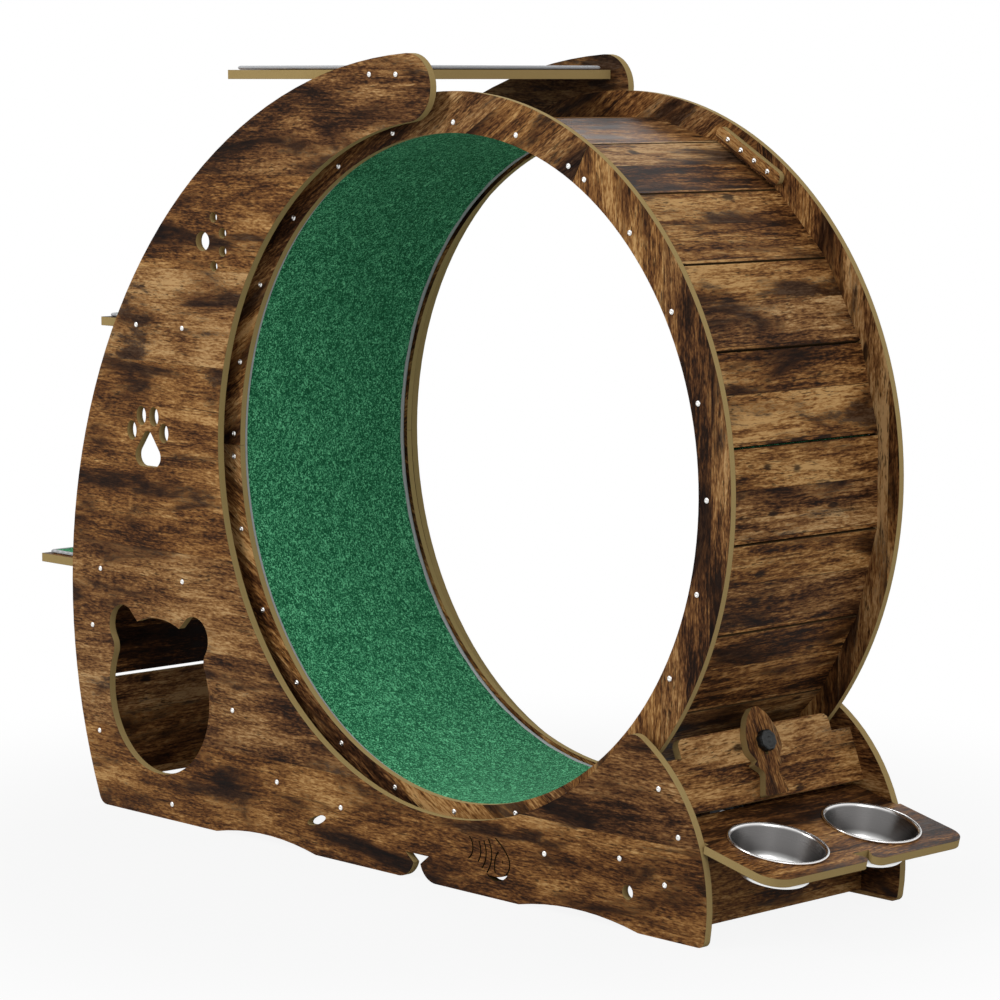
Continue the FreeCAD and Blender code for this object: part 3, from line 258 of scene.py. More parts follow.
# %% The tones of the print
BURNT = (0.16, 0.15, 0.20, 1.0)  # what scorching leaves of each part of a colour
WEATHERED = (0.92, 1.02, 1.30, 1.0)  # what a greyer plank makes of it
WOOD_TONES = (
    (0.08, tint(30, 17, 9)),
    (0.27, tint(64, 38, 20)),
    (0.42, tint(98, 62, 33)),
    (0.55, tint(126, 85, 46)),
    (0.70, tint(156, 112, 64)),
    (0.92, tint(194, 152, 98)),
)
print("tones in the print:", len(WOOD_TONES))

# %% The print, point by point


def print_planks(finish, along, across, plank, seed, rough=0.0):
    """Printed planks: their colour, the height of their grain and where they are scorched."""
    sway = finish.noise(finish.point(along * 2.1, across * 5, seed), 1.0, 2.0) - 0.5
    row = across / plank + seed * 0.37 + sway * 0.05
    chance = finish.chance(row.whole() + seed * 3.1)
    other = (chance * 91.7).rest()
    u = along + chance * 11
    v = across + other * 7 + sway * 0.03

    clouds = finish.noise(finish.point(u * 2.0, v * 7, seed), 1.0, 2.0, 0.5, 0.3) - 0.5
    broad = finish.noise(finish.point(u * 6.5, v * 24, seed), 1.0, 4.0, 0.6, 0.4) - 0.5
    bands = finish.noise(finish.point(u * 4, v * 62, seed), 1.0, 3.0, 0.6, 0.3) - 0.5
    streaks = finish.noise(finish.point(u * 19, v * 170, seed), 1.0, 3.0, 0.7, 0.2) - 0.5
    fibres = finish.noise(finish.point(u * 90, v * 380, seed), 1.0, 2.0, 0.6) - 0.5
    grain = bands * (0.6 + rough * 0.5) + streaks * (0.95 + rough * 0.4) + fibres * 1.1
    tone = 0.52 + clouds * 1.2 + broad * 1.2 + grain + (chance - 0.5) * 0.26
    colour = finish.ramp(tone, *WOOD_TONES)
    greyer = finish.blend(1.0, colour, WEATHERED, "MULTIPLY")
    colour = finish.blend(other.between(0.5, 0.9) * 0.6, colour, greyer)

    scorch_place = finish.point(u * 3.6, v * 14, seed + 4.0)
    scorch = finish.noise(scorch_place, 1.0, 6.0, 0.65, 0.5) + grain * 0.16
    scorched = scorch.between(0.52 - rough * 0.01, 0.62)
    colour = finish.blend(scorched, colour, finish.blend(1.0, colour, BURNT, "MULTIPLY"))

    dashes = finish.noise(finish.point(u * 60, v * 330, seed + 6.0), 1.0, 2.0, 0.5)
    gathered = finish.noise(finish.point(u * 7, v * 24, seed + 1.0), 1.0, 2.0, 0.5)
    dash = dashes.between(0.56, 0.66) * gathered.between(0.44, 0.58)
    colour = finish.blend(dash * 0.75, colour, tint(30, 18, 10))

    cells = {"voronoi_dimensions": "2D", "feature": "F1"}
    spots = finish.point(u * 16, v * 34)
    knot = finish.node("TexVoronoi", cells, {"Vector": spots, "Scale": 1.0})
    kept = finish.node("TexVoronoi", cells, {"Vector": spots, "Scale": 1.0}, "Color")
    rare = finish.node("SeparateColor", None, {0: kept}) > 1.0 - rough * 0.16
    knots = (knot + bands * 0.5 + streaks * 0.3).between(0.24, 0.10) * rare
    colour = finish.blend(knots * 0.85, colour, tint(28, 18, 13))

    crack_line = finish.noise(finish.point(u * 2.6, v * 80, seed + 9.0), 1.0, 2.0, 0.5, 0.6)
    crack_room = finish.noise(finish.point(u * 8, v * 22, seed + 2.0), 1.0, 1.0)
    cracks = abs(crack_line - 0.5).between(0.012, 0.003) * crack_room.between(0.50, 0.60)
    colour = finish.blend(cracks * 0.7, colour, tint(26, 17, 11))

    seams = abs(row.rest() - 0.5).between(0.5 - 0.9 * MM / plank, 0.5)
    colour = finish.blend(seams * (0.4 + rough * 0.4), colour, tint(30, 19, 12))
    height = streaks + fibres - (cracks + knots + dash) * 0.4
    return colour, height, scorched


print("the print is ready")

# %% [markdown]
# ## The raw edge
#
# Sawn round its outline, the board shows what it is made of: pressed wood fibre, tan and
# even, with a thin dark line of the film along each rim. Each finish tells face from
# edge by the way that the surface points, so one finish dresses the whole board.

# %% The finish of a board
EDGE = tint(166, 143, 95)
FILM_DARK = tint(72, 54, 36)
CUT_SHADE = tint(58, 44, 22)


def board_finish(
    name, face, grain, across, plank, seed, faces, round_axle=0, rough=0.0, edge_or_shade=EDGE, shaded_cuts=None
):
    """Printed planks on the two broad faces of a board, and on its edges the edge colour that is
    given: pressed fibre, or painted shade for the slats.

    A board that bends round the axle gives the radius at which its planks are counted; the
    last argument gives a place, and how far round it, where thin cuts get painted shade.
    """
    finish = Finish(name, {"Specular IOR Level": 0.05})
    depth = finish.along(face)
    side = finish.along(across)
    inputs = {0: finish.normal, 1: tuple(face)}
    facing = abs(finish.node("VectorMath", {"operation": "DOT_PRODUCT"}, inputs, "Value"))
    if round_axle:
        level = finish.along(UP) - AXLE.z
        ahead = finish.along(AHEAD) - AXLE.x
        side = level.turn(ahead) * round_axle
        away = finish.point(ahead, 0.0, level)
        radial = finish.node("VectorMath", {"operation": "NORMALIZE"}, {0: away})
        inputs = {0: finish.normal, 1: radial}
        facing = abs(finish.node("VectorMath", {"operation": "DOT_PRODUCT"}, inputs, "Value"))
        depth = (ahead * ahead + level * level).root()
    printed = facing.between(0.68, 0.74)
    colour, height, scorched = print_planks(
        finish, finish.along(grain), side, plank, seed, rough
    )

    low, high = faces
    rim = (high - low) / 2
    film = abs(depth - (low + high) / 2).between(rim - 0.5 * MM, rim - 0.3 * MM)
    fibre = finish.noise(finish.place, 900.0, 3.0, 0.7)
    cloud = finish.noise(finish.place, 38.0, 2.0)
    edge = finish.blend(fibre.between(0.3, 0.75) * 0.35, edge_or_shade, tint(132, 110, 68))
    edge = finish.blend(cloud.between(0.4, 0.7) * 0.2, edge, edge_or_shade)
    edge = finish.blend(film * 0.55, edge, FILM_DARK)
    # Painted shade on the edges of the thin cuts, where little light gets in.
    if shaded_cuts:
        middle, half = shaded_cuts
        beside = abs(finish.along(AHEAD) - middle.x) < half
        level_with = abs(finish.along(UP) - middle.z) < half * 0.6
        edge = finish.blend(beside * level_with, edge, CUT_SHADE)

    dullness = 0.50 - scorched * 0.08 + height * 0.12
    relief = height * printed + fibre * (1.0 - printed) * 0.7
    return finish.show(
        base_color=finish.blend(printed, edge, colour),
        roughness=dullness * printed + (1.0 - printed) * 0.82,
        normal=finish.bump(relief, 0.25 * MM, 0.55),
    )


def dress(node, material):
    """Gives a piece of the frame its finish."""
    slots = frame["nodes"][node].data.materials
    slots.clear()
    slots.append(material)


print("edge colour:", [round(part, 3) for part in EDGE])

# %% [markdown]
# ## Side panels
#
# Each panel is cut from one wide board with its planks lying level, so the grain runs
# from the door to the bowls. The thin cuts of the fish bone look dark inside, since little
# light gets in, so their edges are given painted shade and the finish is told where they are.

# %% Dress the side panels
BONE_AHEAD, BONE_LEVEL, BONE_HALF = 95 * MM, 60 * MM, 65 * MM
bone_middle = Vector((AXLE.x + BONE_AHEAD, 0, BONE_LEVEL))
PANEL_PLANK = 150 * MM
for seed, node in ((3.0, "left_side_panel"), (8.0, "right_side_panel")):
    faces = reach(node, ACROSS)
    bone = (bone_middle, BONE_HALF)
    dress(node, board_finish(node, ACROSS, AHEAD, UP, PANEL_PLANK, seed, faces, shaded_cuts=bone))
    print("dressed", node)

# %% [markdown]
# ## Boards across
#
# The steps, the walls of the sleeping box, the guards, the lock board and the bowl shelf
# run from panel to panel, and so does their grain. Their broad faces lean, and the lean
# is read from the piece itself: it is the direction along which the board is thinnest.

# %% Dress the boards between the panels


def thin_direction(node):
    """The direction, square to the axle, along which a board is thinnest."""
    def thickness(turn):
        low, high = reach(node, Vector((math.cos(turn), 0, math.sin(turn))))
        return high - low
    coarse = min((math.radians(turn) for turn in range(180)), key=thickness)
    fine = min((coarse + math.radians(step / 20) for step in range(-20, 21)), key=thickness)
    return Vector((math.cos(fine), 0, math.sin(fine)))


CROSS_BOARDS = (
    "top_shelf", "middle_step", "lower_step", "house_upper_wall", "house_lower_wall",
    "house_floor", "rear_upper_guard", "rear_lower_guard", "front_guard", "kick_board",
    "lock_board", "bowl_shelf",
)
CROSS_PLANK = 98 * MM
for number, node in enumerate(CROSS_BOARDS):
    face = thin_direction(node)
    slope = face.cross(ACROSS)
    faces, seed = reach(node, face), 12.0 + number
    dress(node, board_finish(node, face, ACROSS, slope, CROSS_PLANK, seed, faces, rough=0.5))
print("dressed boards:", len(CROSS_BOARDS))

# %% [markdown]
# ## The rings and the drum
#
# A ring is three curved pieces, each cut with its grain along its own chord, so the grain
# turns at every seam. The slats of the drum have theirs along the axle; their planks are
# counted by the angle around it, so that each slat gets tones of its own.

# %% Dress the rings and the splices
RING_TURNS = {"upper": 120, "lower": 240, "front": 0}
SPLICE_TURNS = {"rear": 180, "lower": 300, "upper": 60}
RING_PLANK, SPLICE_PLANK = 90 * MM, 30 * MM


def chord_directions(degrees):
    """The direction out from the axle at an angle, and the chord square to it."""
    turn = math.radians(degrees)
    outward = Vector((math.cos(turn), 0, math.sin(turn)))
    return outward, Vector((-outward.z, 0, outward.x))


for number, (name, degrees) in enumerate(RING_TURNS.items()):
    outward, chord = chord_directions(degrees)
    for side in ("left", "right"):
        node = f"{side}_ring_{name}"
        faces, seed = reach(node, ACROSS), 31.0 + number * 2.7 + (side == "right") * 13
        printed = board_finish(
            node, ACROSS, chord, outward, RING_PLANK, seed, faces, rough=0.3
        )
        dress(node, printed)
for number, (name, degrees) in enumerate(SPLICE_TURNS.items()):
    outward, chord = chord_directions(degrees)
    for side in ("left", "right"):
        node = f"{side}_{name}_splice"
        faces, seed = reach(node, ACROSS), 50.0 + number
        dress(node, board_finish(node, ACROSS, chord, outward, SPLICE_PLANK, seed, faces))
print("dressed ring pieces and splices:", 2 * (len(RING_TURNS) + len(SPLICE_TURNS)))

# %% Dress the slats
SLAT_INNER, SLAT_OUTER = 0.501, 0.510
SLAT_COUNT = 24
# Painted shade: the slat edges, which face the narrow gaps between slats, get a dark brown in
# place of raw fibre.
SLAT_GAP_SHADE = tint(46, 32, 20)
slat_pitch = math.tau * SLAT_OUTER / SLAT_COUNT
slat_finish = board_finish(
    "slats", AHEAD, ACROSS, UP, slat_pitch / 2, 70.0, (SLAT_INNER, SLAT_OUTER), SLAT_OUTER,
    rough=1.0, edge_or_shade=SLAT_GAP_SHADE,
)
for node in ("slats_upper", "slats_front", "slats_lower"):
    dress(node, slat_finish)
print("slat pitch, mm:", round(slat_pitch / MM, 1))

# %% [markdown]
# ## The brake plate
#
# The fish-shaped plate is cut from the same film-covered board. Its grain runs along the
# fish, from head to tail.

# %% Dress the brake plate
lock_slope = Vector(joints["brake_slide"]["axis"])
lock_face = Vector(joints["knob_turn"]["axis"])
PLATE_PLANK = 40 * MM
faces = reach("brake_plate", lock_face)
plate_finish = board_finish(
    "brake_plate", lock_face, lock_slope, ACROSS, PLATE_PLANK, 77.0, faces
)
dress("brake_plate", plate_finish)
print("brake plate leans, degrees:", round(math.degrees(lock_face.angle(AHEAD)), 1))

# %% [markdown]
# ## Making a mesh
#
# The new pieces come from rings of points that are joined into a skin. One helper joins
# such rings, closed round or open, and another spins a profile about an axis.

# %% Join rings of points into a skin


def make_piece(name, corners, faces, body, material, smooth=True):
    """A piece made from corners and faces, which rides on a body of the frame."""
    mesh = bpy.data.meshes.new(name)
    mesh.from_pydata([tuple(corner) for corner in corners], [], faces)
    mesh.validate()
    mesh.polygons.foreach_set("use_smooth", [smooth] * len(mesh.polygons))
    piece = bpy.data.objects.new(name, mesh)
    bpy.context.collection.objects.link(piece)
    mesh.materials.append(material)
    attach(piece, body)
    return piece


def skin(rings, closed_along=False, first=0):
    """Faces that join each ring of points to the next. All rings have the same count."""
    count = len(rings[0])
    pairs = len(rings) if closed_along else len(rings) - 1
    faces = []
    for ring in range(pairs):
        start, after = first + ring * count, first + (ring + 1) % len(rings) * count
        for place in range(count):
            beside = (place + 1) % count
            faces.append((start + place, start + beside, after + beside, after + place))
    return faces


def flat(rings):
    return [corner for ring in rings for corner in ring]


print("mesh helpers ready")

# %% [markdown]
# ## The mats
#
# The wheel and the steps carry short-pile carpet, glued down flat, with its rim bound in
# grey thread. The pile is a thick field of curled loops a few millimetres apart, so the
# mat is modelled with a gently uneven top and the loops themselves come from the finish.

# %% The finish of the pile
# The pile's middle green, with its painted shade and its painted highlight.
PILE_SHADE, PILE_MIDDLE, PILE_HIGHLIGHT = tint(22, 86, 56), tint(62, 144, 100), tint(122, 212, 160)
SHEEN_GREEN = tint(110, 190, 140)


def pile_finish():
    """Green loops with painted shade between them and a painted highlight on their crowns, and
    random clumps of tone.
    """
    finish = Finish("green_pile", {
        "Roughness": 0.95, "Sheen Weight": 0.12, "Sheen Roughness": 0.5,
        "Sheen Tint": SHEEN_GREEN, "Specular IOR Level": 0.1,
    })
    curls = finish.noise(finish.place, 190.0, 2.0, 0.55, 1.8)
    cells = {"Vector": finish.place, "Scale": 420.0}
    loops = finish.node("TexVoronoi", {"feature": "F1"}, cells)
    clumps = finish.noise(finish.place, 60.0, 2.0, 0.5)
    lie = finish.noise(finish.place, 6.0, 2.0, 0.5)
    # The tone follows the loops as the bump does: painted shade between loops and a painted
    # highlight on their crowns.
    tone = curls * 1.3 + (0.5 - loops) * 0.35 + clumps * 0.14 + lie * 0.10 - 0.33
    colour = finish.ramp(tone, (0.34, PILE_SHADE), (0.50, PILE_MIDDLE), (0.68, PILE_HIGHLIGHT))
    height = curls * 0.7 + (0.6 - loops) * 0.5
    return finish.show(base_color=colour, normal=finish.bump(height, 1.6 * MM, 0.8))


def binding_finish():
    """Grey thread, wound over the rim in close slanting turns."""
    finish = Finish("grey_binding", {"Roughness": 0.8, "Sheen Weight": 0.15})
    level = finish.along(UP) - AXLE.z
    ahead = finish.along(AHEAD) - AXLE.x
    turns = level.turn(ahead) * 0.495
    slanted = (turns + finish.along(ACROSS) * 0.6) / (1.6 * MM)
    wave = abs(slanted.rest() - 0.5) * 2
    fuzz = finish.noise(finish.place, 1500.0, 2.0, 0.6)
    tone = wave * 0.5 + fuzz * 0.5
    colour = finish.ramp(tone, (0.15, tint(142, 144, 146)), (0.8, tint(192, 194, 197)))
    return finish.show(base_color=colour, normal=finish.bump(1.0 - wave, 0.5 * MM, 0.6))


green_pile = pile_finish()
grey_binding = binding_finish()
print("mat finishes ready")

# %% The mat inside the drum
BINDING = 9 * MM
MAT_TOP, MAT_BACK = 0.4958, 0.5004


def uneven(a, b):
    """The slight unevenness of a glued mat, in metres."""
    return 0.25 * MM * (math.sin(a * 41 + b * 13) + math.sin(a * 17 - b * 29 + 1.3))


def at_wheel(radius, y, turn):
    """A point on the wheel: its radius, its place along the axle and its angle."""
    return AXLE + Vector((radius * math.cos(turn), y, radius * math.sin(turn)))


def make_running_mat(steps=480, strips=44):
    """A carpet band inside the slats, its bound rims apart from its pile."""
    low, high = reach("running_mat", ACROSS)
    rings = []
    for step in range(steps):
        turn = math.tau * step / steps
        section = []
        for strip in range(strips + 1):
            share = strip / strips
            y = low + BINDING * 0.6 + (high - low - 1.2 * BINDING) * share
            rim = min(share, 1 - share) * (high - low)
            sink = 0.8 * MM * math.exp(-rim / (4 * MM))
            section.append(at_wheel(MAT_TOP + sink + uneven(turn * 3, y * 30), y, turn))
        section.append(at_wheel(MAT_BACK, high - BINDING * 0.6, turn))
        section.append(at_wheel(MAT_BACK, low + BINDING * 0.6, turn))
        rings.append(section)
    mat = make_piece(
        "running_mat_pile", flat(rings), skin(rings, True), "wheel", green_pile
    )
    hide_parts("running_mat")
    middle, sunk = (MAT_TOP + MAT_BACK) / 2, 2.2 * MM
    for side, rim, inward, rise in (("left", low, 1, 5 * MM), ("right", high, -1, 3.2 * MM)):
        roll = [
            (
                middle - rise * max(math.sin(place), -sunk / rise),
                rim + inward * BINDING * 0.5 * (1 - math.cos(place)),
            )
            for place in (math.tau * part / 12 for part in range(12))
        ]
        turns = [math.tau * step / steps for step in range(steps)]
        bands = [[at_wheel(radius, y, turn) for radius, y in roll] for turn in turns]
        binding = make_piece(
            f"running_mat_{side}_binding", flat(bands), skin(bands, True), "wheel",
            grey_binding,
        )
        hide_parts("running_mat")
    return mat


running_mat = make_running_mat()
print("running mat faces:", len(running_mat.data.polygons))

# %% The mats on the steps


def make_step_mat(node, corner=10 * MM):
    """A flat carpet with round corners, bound all round."""
    low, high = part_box(node)
    middle, half = (low + high) / 2, (high - low) / 2
    steps = 6
    centres = [(1, 1, 0), (-1, 1, 90), (-1, -1, 180), (1, -1, 270)]

    def outline(inset, z):
        """Points round the mat, a little way in from its rim."""
        bend = max(corner - inset, 1 * MM)
        ring = []
        for number, (right, up, turn) in enumerate(centres):
            cx = middle.x + right * (half.x - inset - bend)
            cy = middle.y + up * (half.y - inset - bend)
            for step in range(steps + 1):
                angle = math.radians(turn + 90 * step / steps)
                ring.append(Vector((cx + bend * math.cos(angle), cy + bend * math.sin(angle), z)))
            after = centres[(number + 1) % 4]
            span = 24 if number % 2 == 0 else 40
            ax = middle.x + after[0] * (half.x - inset - bend)
            ay = middle.y + after[1] * (half.y - inset - bend)
            angle = math.radians(turn + 90)
            start = ring[-1]
            end = Vector((ax + bend * math.cos(angle), ay + bend * math.sin(angle), z))
            ring.extend(start.lerp(end, part / span) for part in range(1, span))
        return ring

    insets = [BINDING * 0.55 + half.y * 0.97 * (share / 14) ** 1.4 for share in range(15)]
    insets = [inset for inset in insets if inset < min(half.x, half.y) - 2 * MM]
    rings = [outline(BINDING * 0.55, low.z)]
    for inset in insets:
        sink = 0.9 * MM * math.exp(-(inset - insets[0]) / (3 * MM))
        ring = outline(inset, high.z - sink - 0.4 * MM)
        for point in ring:
            point.z += uneven(point.x * 5, point.y * 30) * 0.6
        rings.append(ring)
    count = len(rings[0])
    faces = skin(rings)
    faces.append(tuple(reversed(range(count))))
    last = (len(rings) - 1) * count
    faces.append(tuple(range(last, last + count)))
    mat = make_piece(f"{node}_pile", flat(rings), faces, "stand", green_pile)
    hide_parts(node)

    thick = (high.z - low.z) / 2
    bands = []
    for part in range(12):
        place = math.tau * part / 12
        inset = BINDING * 0.5 * (1 - math.cos(place))
        bands.append(outline(inset, low.z + thick + thick * math.sin(place)))
    binding = make_piece(
        f"{node}_binding", flat(bands), skin(bands, True), "stand", grey_binding
    )
    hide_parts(node)
    return mat


for node in ("top_shelf_mat", "middle_step_mat", "lower_step_mat"):
    mat = make_step_mat(node)
    print(node, "faces:", len(mat.data.polygons))

# %% [markdown]
# ## Metal and moulded finishes
#
# The screws and bolts are zinc plated, the bowls are spun from thin stainless steel, and
# the knob and the rollers are moulded plastic. Metal takes nearly all its look from what
# it mirrors, so its finish only adds faint brushing and small differences in gloss.

# %% Finishes of metal and plastic


def metal_finish(name, colour, gloss):
    """Metal with faint clouds and marks."""
    finish = Finish(name, {"Metallic": 1.0})
    cloud = finish.noise(finish.place, 45.0, 3.0, 0.6)
    marks = finish.noise(finish.place, 900.0, 2.0, 0.6)
    tone = finish.blend(cloud.between(0.35, 0.7) * 0.25, colour, tint(168, 168, 170))
    rough = gloss + (cloud - 0.5) * 0.10 + (marks - 0.5) * 0.06
    return finish.show(
        base_color=tone, roughness=rough, normal=finish.bump(marks, 0.01 * MM, 0.25)
    )


def plastic_finish(name, colour, gloss):
    """Moulded plastic with a fine grain."""
    finish = Finish(name, {"Specular IOR Level": 0.45})
    grain = finish.noise(finish.place, 2200.0, 2.0, 0.6)
    cloud = finish.noise(finish.place, 60.0, 2.0, 0.5)
    lighter = tuple(part * 1.7 + 0.004 for part in colour[:3]) + (1.0,)
    return finish.show(
        base_color=finish.blend(cloud.between(0.3, 0.8) * 0.5, colour, lighter),
        roughness=gloss + (cloud - 0.5) * 0.12,
        normal=finish.bump(grain, 0.06 * MM, 0.5),
    )


screw_metal = metal_finish("screw_heads", tint(236, 235, 232), 0.34)
zinc = metal_finish("zinc_steel", tint(196, 197, 200), 0.32)
black_plastic = plastic_finish("black_plastic", tint(9, 12, 12), 0.5)
roller_plastic = plastic_finish("roller_plastic", tint(58, 59, 62), 0.5)
print("metal and plastic ready")

# %% [markdown]
# ## Spinning a profile
#
# Bowls, rollers, knobs and screw heads are all round about an axis. A profile is a list
# of radius and height, and it is carried round the axis in even steps.

# %% Spin a profile about an axis


def spun(centre, axis, profile, steps, ripple=None):
    """Rings of points that a profile sweeps about an axis. A ripple changes the radius."""
    axis = axis.normalized()
    side = ACROSS if abs(axis.dot(ACROSS)) < 0.9 else AHEAD
    first = (side - axis * side.dot(axis)).normalized()
    second = axis.cross(first)
    rings = []
    for number, (radius, height) in enumerate(profile):
        ring = []
        for step in range(steps):
            turn = math.tau * step / steps
            away = radius * (ripple(turn, number) if ripple else 1)
            out = first * away * math.cos(turn) + second * away * math.sin(turn)
            ring.append(centre + axis * height + out)
        rings.append(ring)
    return rings


def smooth_profile(corners, steps=4):
    """The profile with each inner corner, given with a radius, rounded off."""
    points = [Vector(corners[0][:2])]
    for before, corner, after in zip(corners, corners[1:], corners[2:]):
        place = Vector(corner[:2])
        bend = corner[2] if len(corner) > 2 else 0
        if not bend:
            points.append(place)
            continue
        to_before = (Vector(before[:2]) - place).normalized() * bend
        to_after = (Vector(after[:2]) - place).normalized() * bend
        for step in range(steps + 1):
            share = step / steps
            points.append(place + to_before * (1 - share) ** 2 + to_after * share ** 2)
    points.append(Vector(corners[-1][:2]))
    return [tuple(point) for point in points]


print("profiles can be spun")

# %% [markdown]
# ## The bowls
#
# A bowl is spun from one thin sheet: a flat bottom with a soft bend, a side that opens
# upward, and a rim rolled over until its edge sits on the shelf. The profile is drawn
# right round the sheet, inside and outside, so that the rim has its true thickness.

# %% The finish of a bowl
lift = Vector(joints["left_bowl_lift"]["axis"]).normalized()


def bowl_finish(name, centre, depth):
    """Spun steel, bright all over except for painted shade on the rougher wall inside, which
    fades out toward the bottom.
    """
    finish = Finish(name, {"Metallic": 1.0})
    slope = lift.cross(ACROSS)
    height = finish.along(lift) - centre.dot(lift)
    right = finish.along(slope) - centre.dot(slope)
    side = finish.along(ACROSS) - centre.dot(ACROSS)
    away = (right * right + side * side).root()
    inside = away.between(67.5 * MM, 65.5 * MM)
    lines = finish.noise(finish.point(away * 900, height * 900), 1.0, 2.0, 0.6)
    # Painted shade: the wall inside is darkened, and the darkening fades out near the bottom.
    painted_shade_fade = height.between(depth + 16 * MM, depth + 5 * MM)
    dark = finish.blend(painted_shade_fade, tint(112, 110, 109), tint(238, 238, 237))
    colour = finish.blend(inside, tint(240, 239, 238), dark)
    rough = 0.20 + inside * 0.08 + (lines - 0.5) * 0.04
    return finish.show(base_color=colour, roughness=rough)


# %% Spin the bowls
BOWL_INSIDE, BOWL_FOOT, SHEET = 67 * MM, 52 * MM, 0.8 * MM
RIM_DROP, DIMPLE = 2.9 * MM, 0.9 * MM
for side in ("left", "right"):
    node = f"{side}_bowl"
    low, high = reach(node, lift)
    slope = lift.cross(ACROSS)
    across_low, across_high = reach(node, ACROSS)
    slope_low, slope_high = reach(node, slope)
    rim = (across_high - across_low) / 2
    centre = slope * (slope_low + slope_high) / 2 + ACROSS * (across_low + across_high) / 2
    depth = low - high
    inner = [
        (0.1 * MM, depth + SHEET + DIMPLE), (BOWL_FOOT - 15 * MM, depth + SHEET + DIMPLE),
        (BOWL_FOOT - 12 * MM, depth + SHEET, 2 * MM), (BOWL_FOOT - SHEET, depth + SHEET, 9 * MM),
        (BOWL_INSIDE, -0.5 * MM, 4 * MM), (BOWL_INSIDE + 2.2 * MM, 0, 1.2 * MM),
        (rim, 0, 1.6 * MM), (rim, -RIM_DROP),
    ]
    outer = [
        (rim, -RIM_DROP), (rim - SHEET, -RIM_DROP), (rim - SHEET, -SHEET, 1 * MM),
        (BOWL_INSIDE + SHEET, -SHEET, 1.5 * MM), (BOWL_FOOT, depth, 9 * MM),
        (BOWL_FOOT - 11 * MM, depth, 2 * MM), (BOWL_FOOT - 14 * MM, depth + DIMPLE),
        (0.1 * MM, depth + DIMPLE),
    ]
    profile = smooth_profile(inner, 6) + smooth_profile(outer, 6)[1:]
    rings = spun(centre + lift * high, lift, profile, 96)
    bowl = make_piece(
        f"{side}_steel_bowl", flat(rings), skin(rings), node,
        bowl_finish(f"{side}_bowl_steel", centre + lift * high, depth),
    )
    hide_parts(node)
    print(bowl.name, "radius, mm:", round(rim / MM, 1))

# %% [markdown]
# ## The knob
#
# The clamping knob is a black star grip: eight soft lobes for the fingers, a rounded rim
# and a shallow disc on its face. Its outline is a circle whose radius ripples with the
# angle, and the ripple fades toward the middle of the face.

# %% Mould the knob
knob_place = Vector(joints["knob_turn"]["pos_m"])
knob_low, knob_high = reach("brake_knob", lock_face)
knob_seat = knob_place + lock_face * (knob_low - knob_place.dot(lock_face))
knob_radius = (reach("brake_knob", ACROSS)[1] - reach("brake_knob", ACROSS)[0]) / 2
knob_height = knob_high - knob_low
KNOB_LOBES = 8
knob_corners = [
    (0.55, 0), (0.93, 0, 1 * MM), (1, 2 * MM / knob_height, 2 * MM), (1, 0.72, 2.5 * MM),
    (0.86, 0.96, 1.5 * MM), (0.66, 0.97, 1 * MM), (0.60, 0.88, 0.8 * MM),
    (0.30, 0.88, 1 * MM), (0.20, 1, 0.8 * MM), (0.1 * MM / knob_radius, 1),
]
knob_profile = smooth_profile([
    (out * knob_radius, up * knob_height, *bend) for out, up, *bend in knob_corners
])


def lobes(turn, number):
    """The ripple of the lobes, strongest on the rim of the knob."""
    strength = min(1.0, max(0.0, (knob_profile[number][0] / knob_radius - 0.62) / 0.3))
    return 1 - 0.085 * strength * (0.5 + 0.5 * math.cos(KNOB_LOBES * turn)) ** 2


knob_rings = spun(knob_seat, lock_face, knob_profile, 128, lobes)
knob = make_piece(
    "lobed_knob", flat(knob_rings), skin(knob_rings) + [tuple(reversed(range(128)))],
    "brake_knob", black_plastic,
)
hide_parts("brake_knob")
print("knob, mm:", round(knob_radius / MM * 2, 1), "by", round(knob_height / MM, 1))

# %% [markdown]
# ## The rollers
#
# Four grooved rollers carry the rings. Each is a moulded wheel with two flanges, a face
# with a sunken ring and a steel bearing in the middle. The rods and the tubes on them are zinc
# plated.

# %% Turn the rollers
ROLLER_NODES = [f"{side}_{end}_roller" for side in ("left", "right") for end in ("rear", "front")]
for node in ROLLER_NODES:
    middle = Vector(joints[f"{node}_spin"]["pos_m"])
    low, high = reach(node, ACROSS)
    half = (high - low) / 2
    flange = (reach(node, UP)[1] - reach(node, UP)[0]) / 2
    groove, bore = flange - 5 * MM, 4.1 * MM
    side = [
        (bore, half, 0), (11 * MM, half, 0.3 * MM), (11.4 * MM, half - 1.2 * MM, 0.3 * MM),
        (flange - 5 * MM, half - 1.2 * MM, 0.6 * MM), (flange - 4 * MM, half, 0.6 * MM),
        (flange, half, 0.9 * MM), (flange, 6.1 * MM, 0.5 * MM), (groove, 5.75 * MM, 0.6 * MM),
    ]
    mirror = [(radius, -height, bend) for radius, height, bend in reversed(side)]
    profile = smooth_profile(side + mirror, 3)
    rings = spun(middle, ACROSS, profile, 72)
    wheel = make_piece(
        f"{node}_wheel", flat(rings), skin(rings), node, roller_plastic
    )
    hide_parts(node)
    proud, recess = half + 0.05 * MM, half - 0.45 * MM
    races = smooth_profile([
        (bore, proud), (6 * MM, proud, 0.2 * MM), (6.2 * MM, recess), (8.6 * MM, recess),
        (8.8 * MM, proud, 0.2 * MM), (10.6 * MM, proud), (10.7 * MM, half - 0.65 * MM),
    ], 2)
    for end, sign in (("near", -1), ("far", 1)):
        rings = spun(middle, ACROSS, [(radius, sign * height) for radius, height in races], 48)
        make_piece(
            f"{node}_{end}_bearing", flat(rings), skin(rings), node, zinc
        )
for node in ("rear_roller_rod", "front_roller_rod", "roller_spacers", "lock_bolt"):
    dress(node, zinc)
print("rollers:", len(ROLLER_NODES))

# All have the same low round head with a six-sided socket, so one head is drawn once and
# set down at each place in the frame.

# %% Find where the screws are


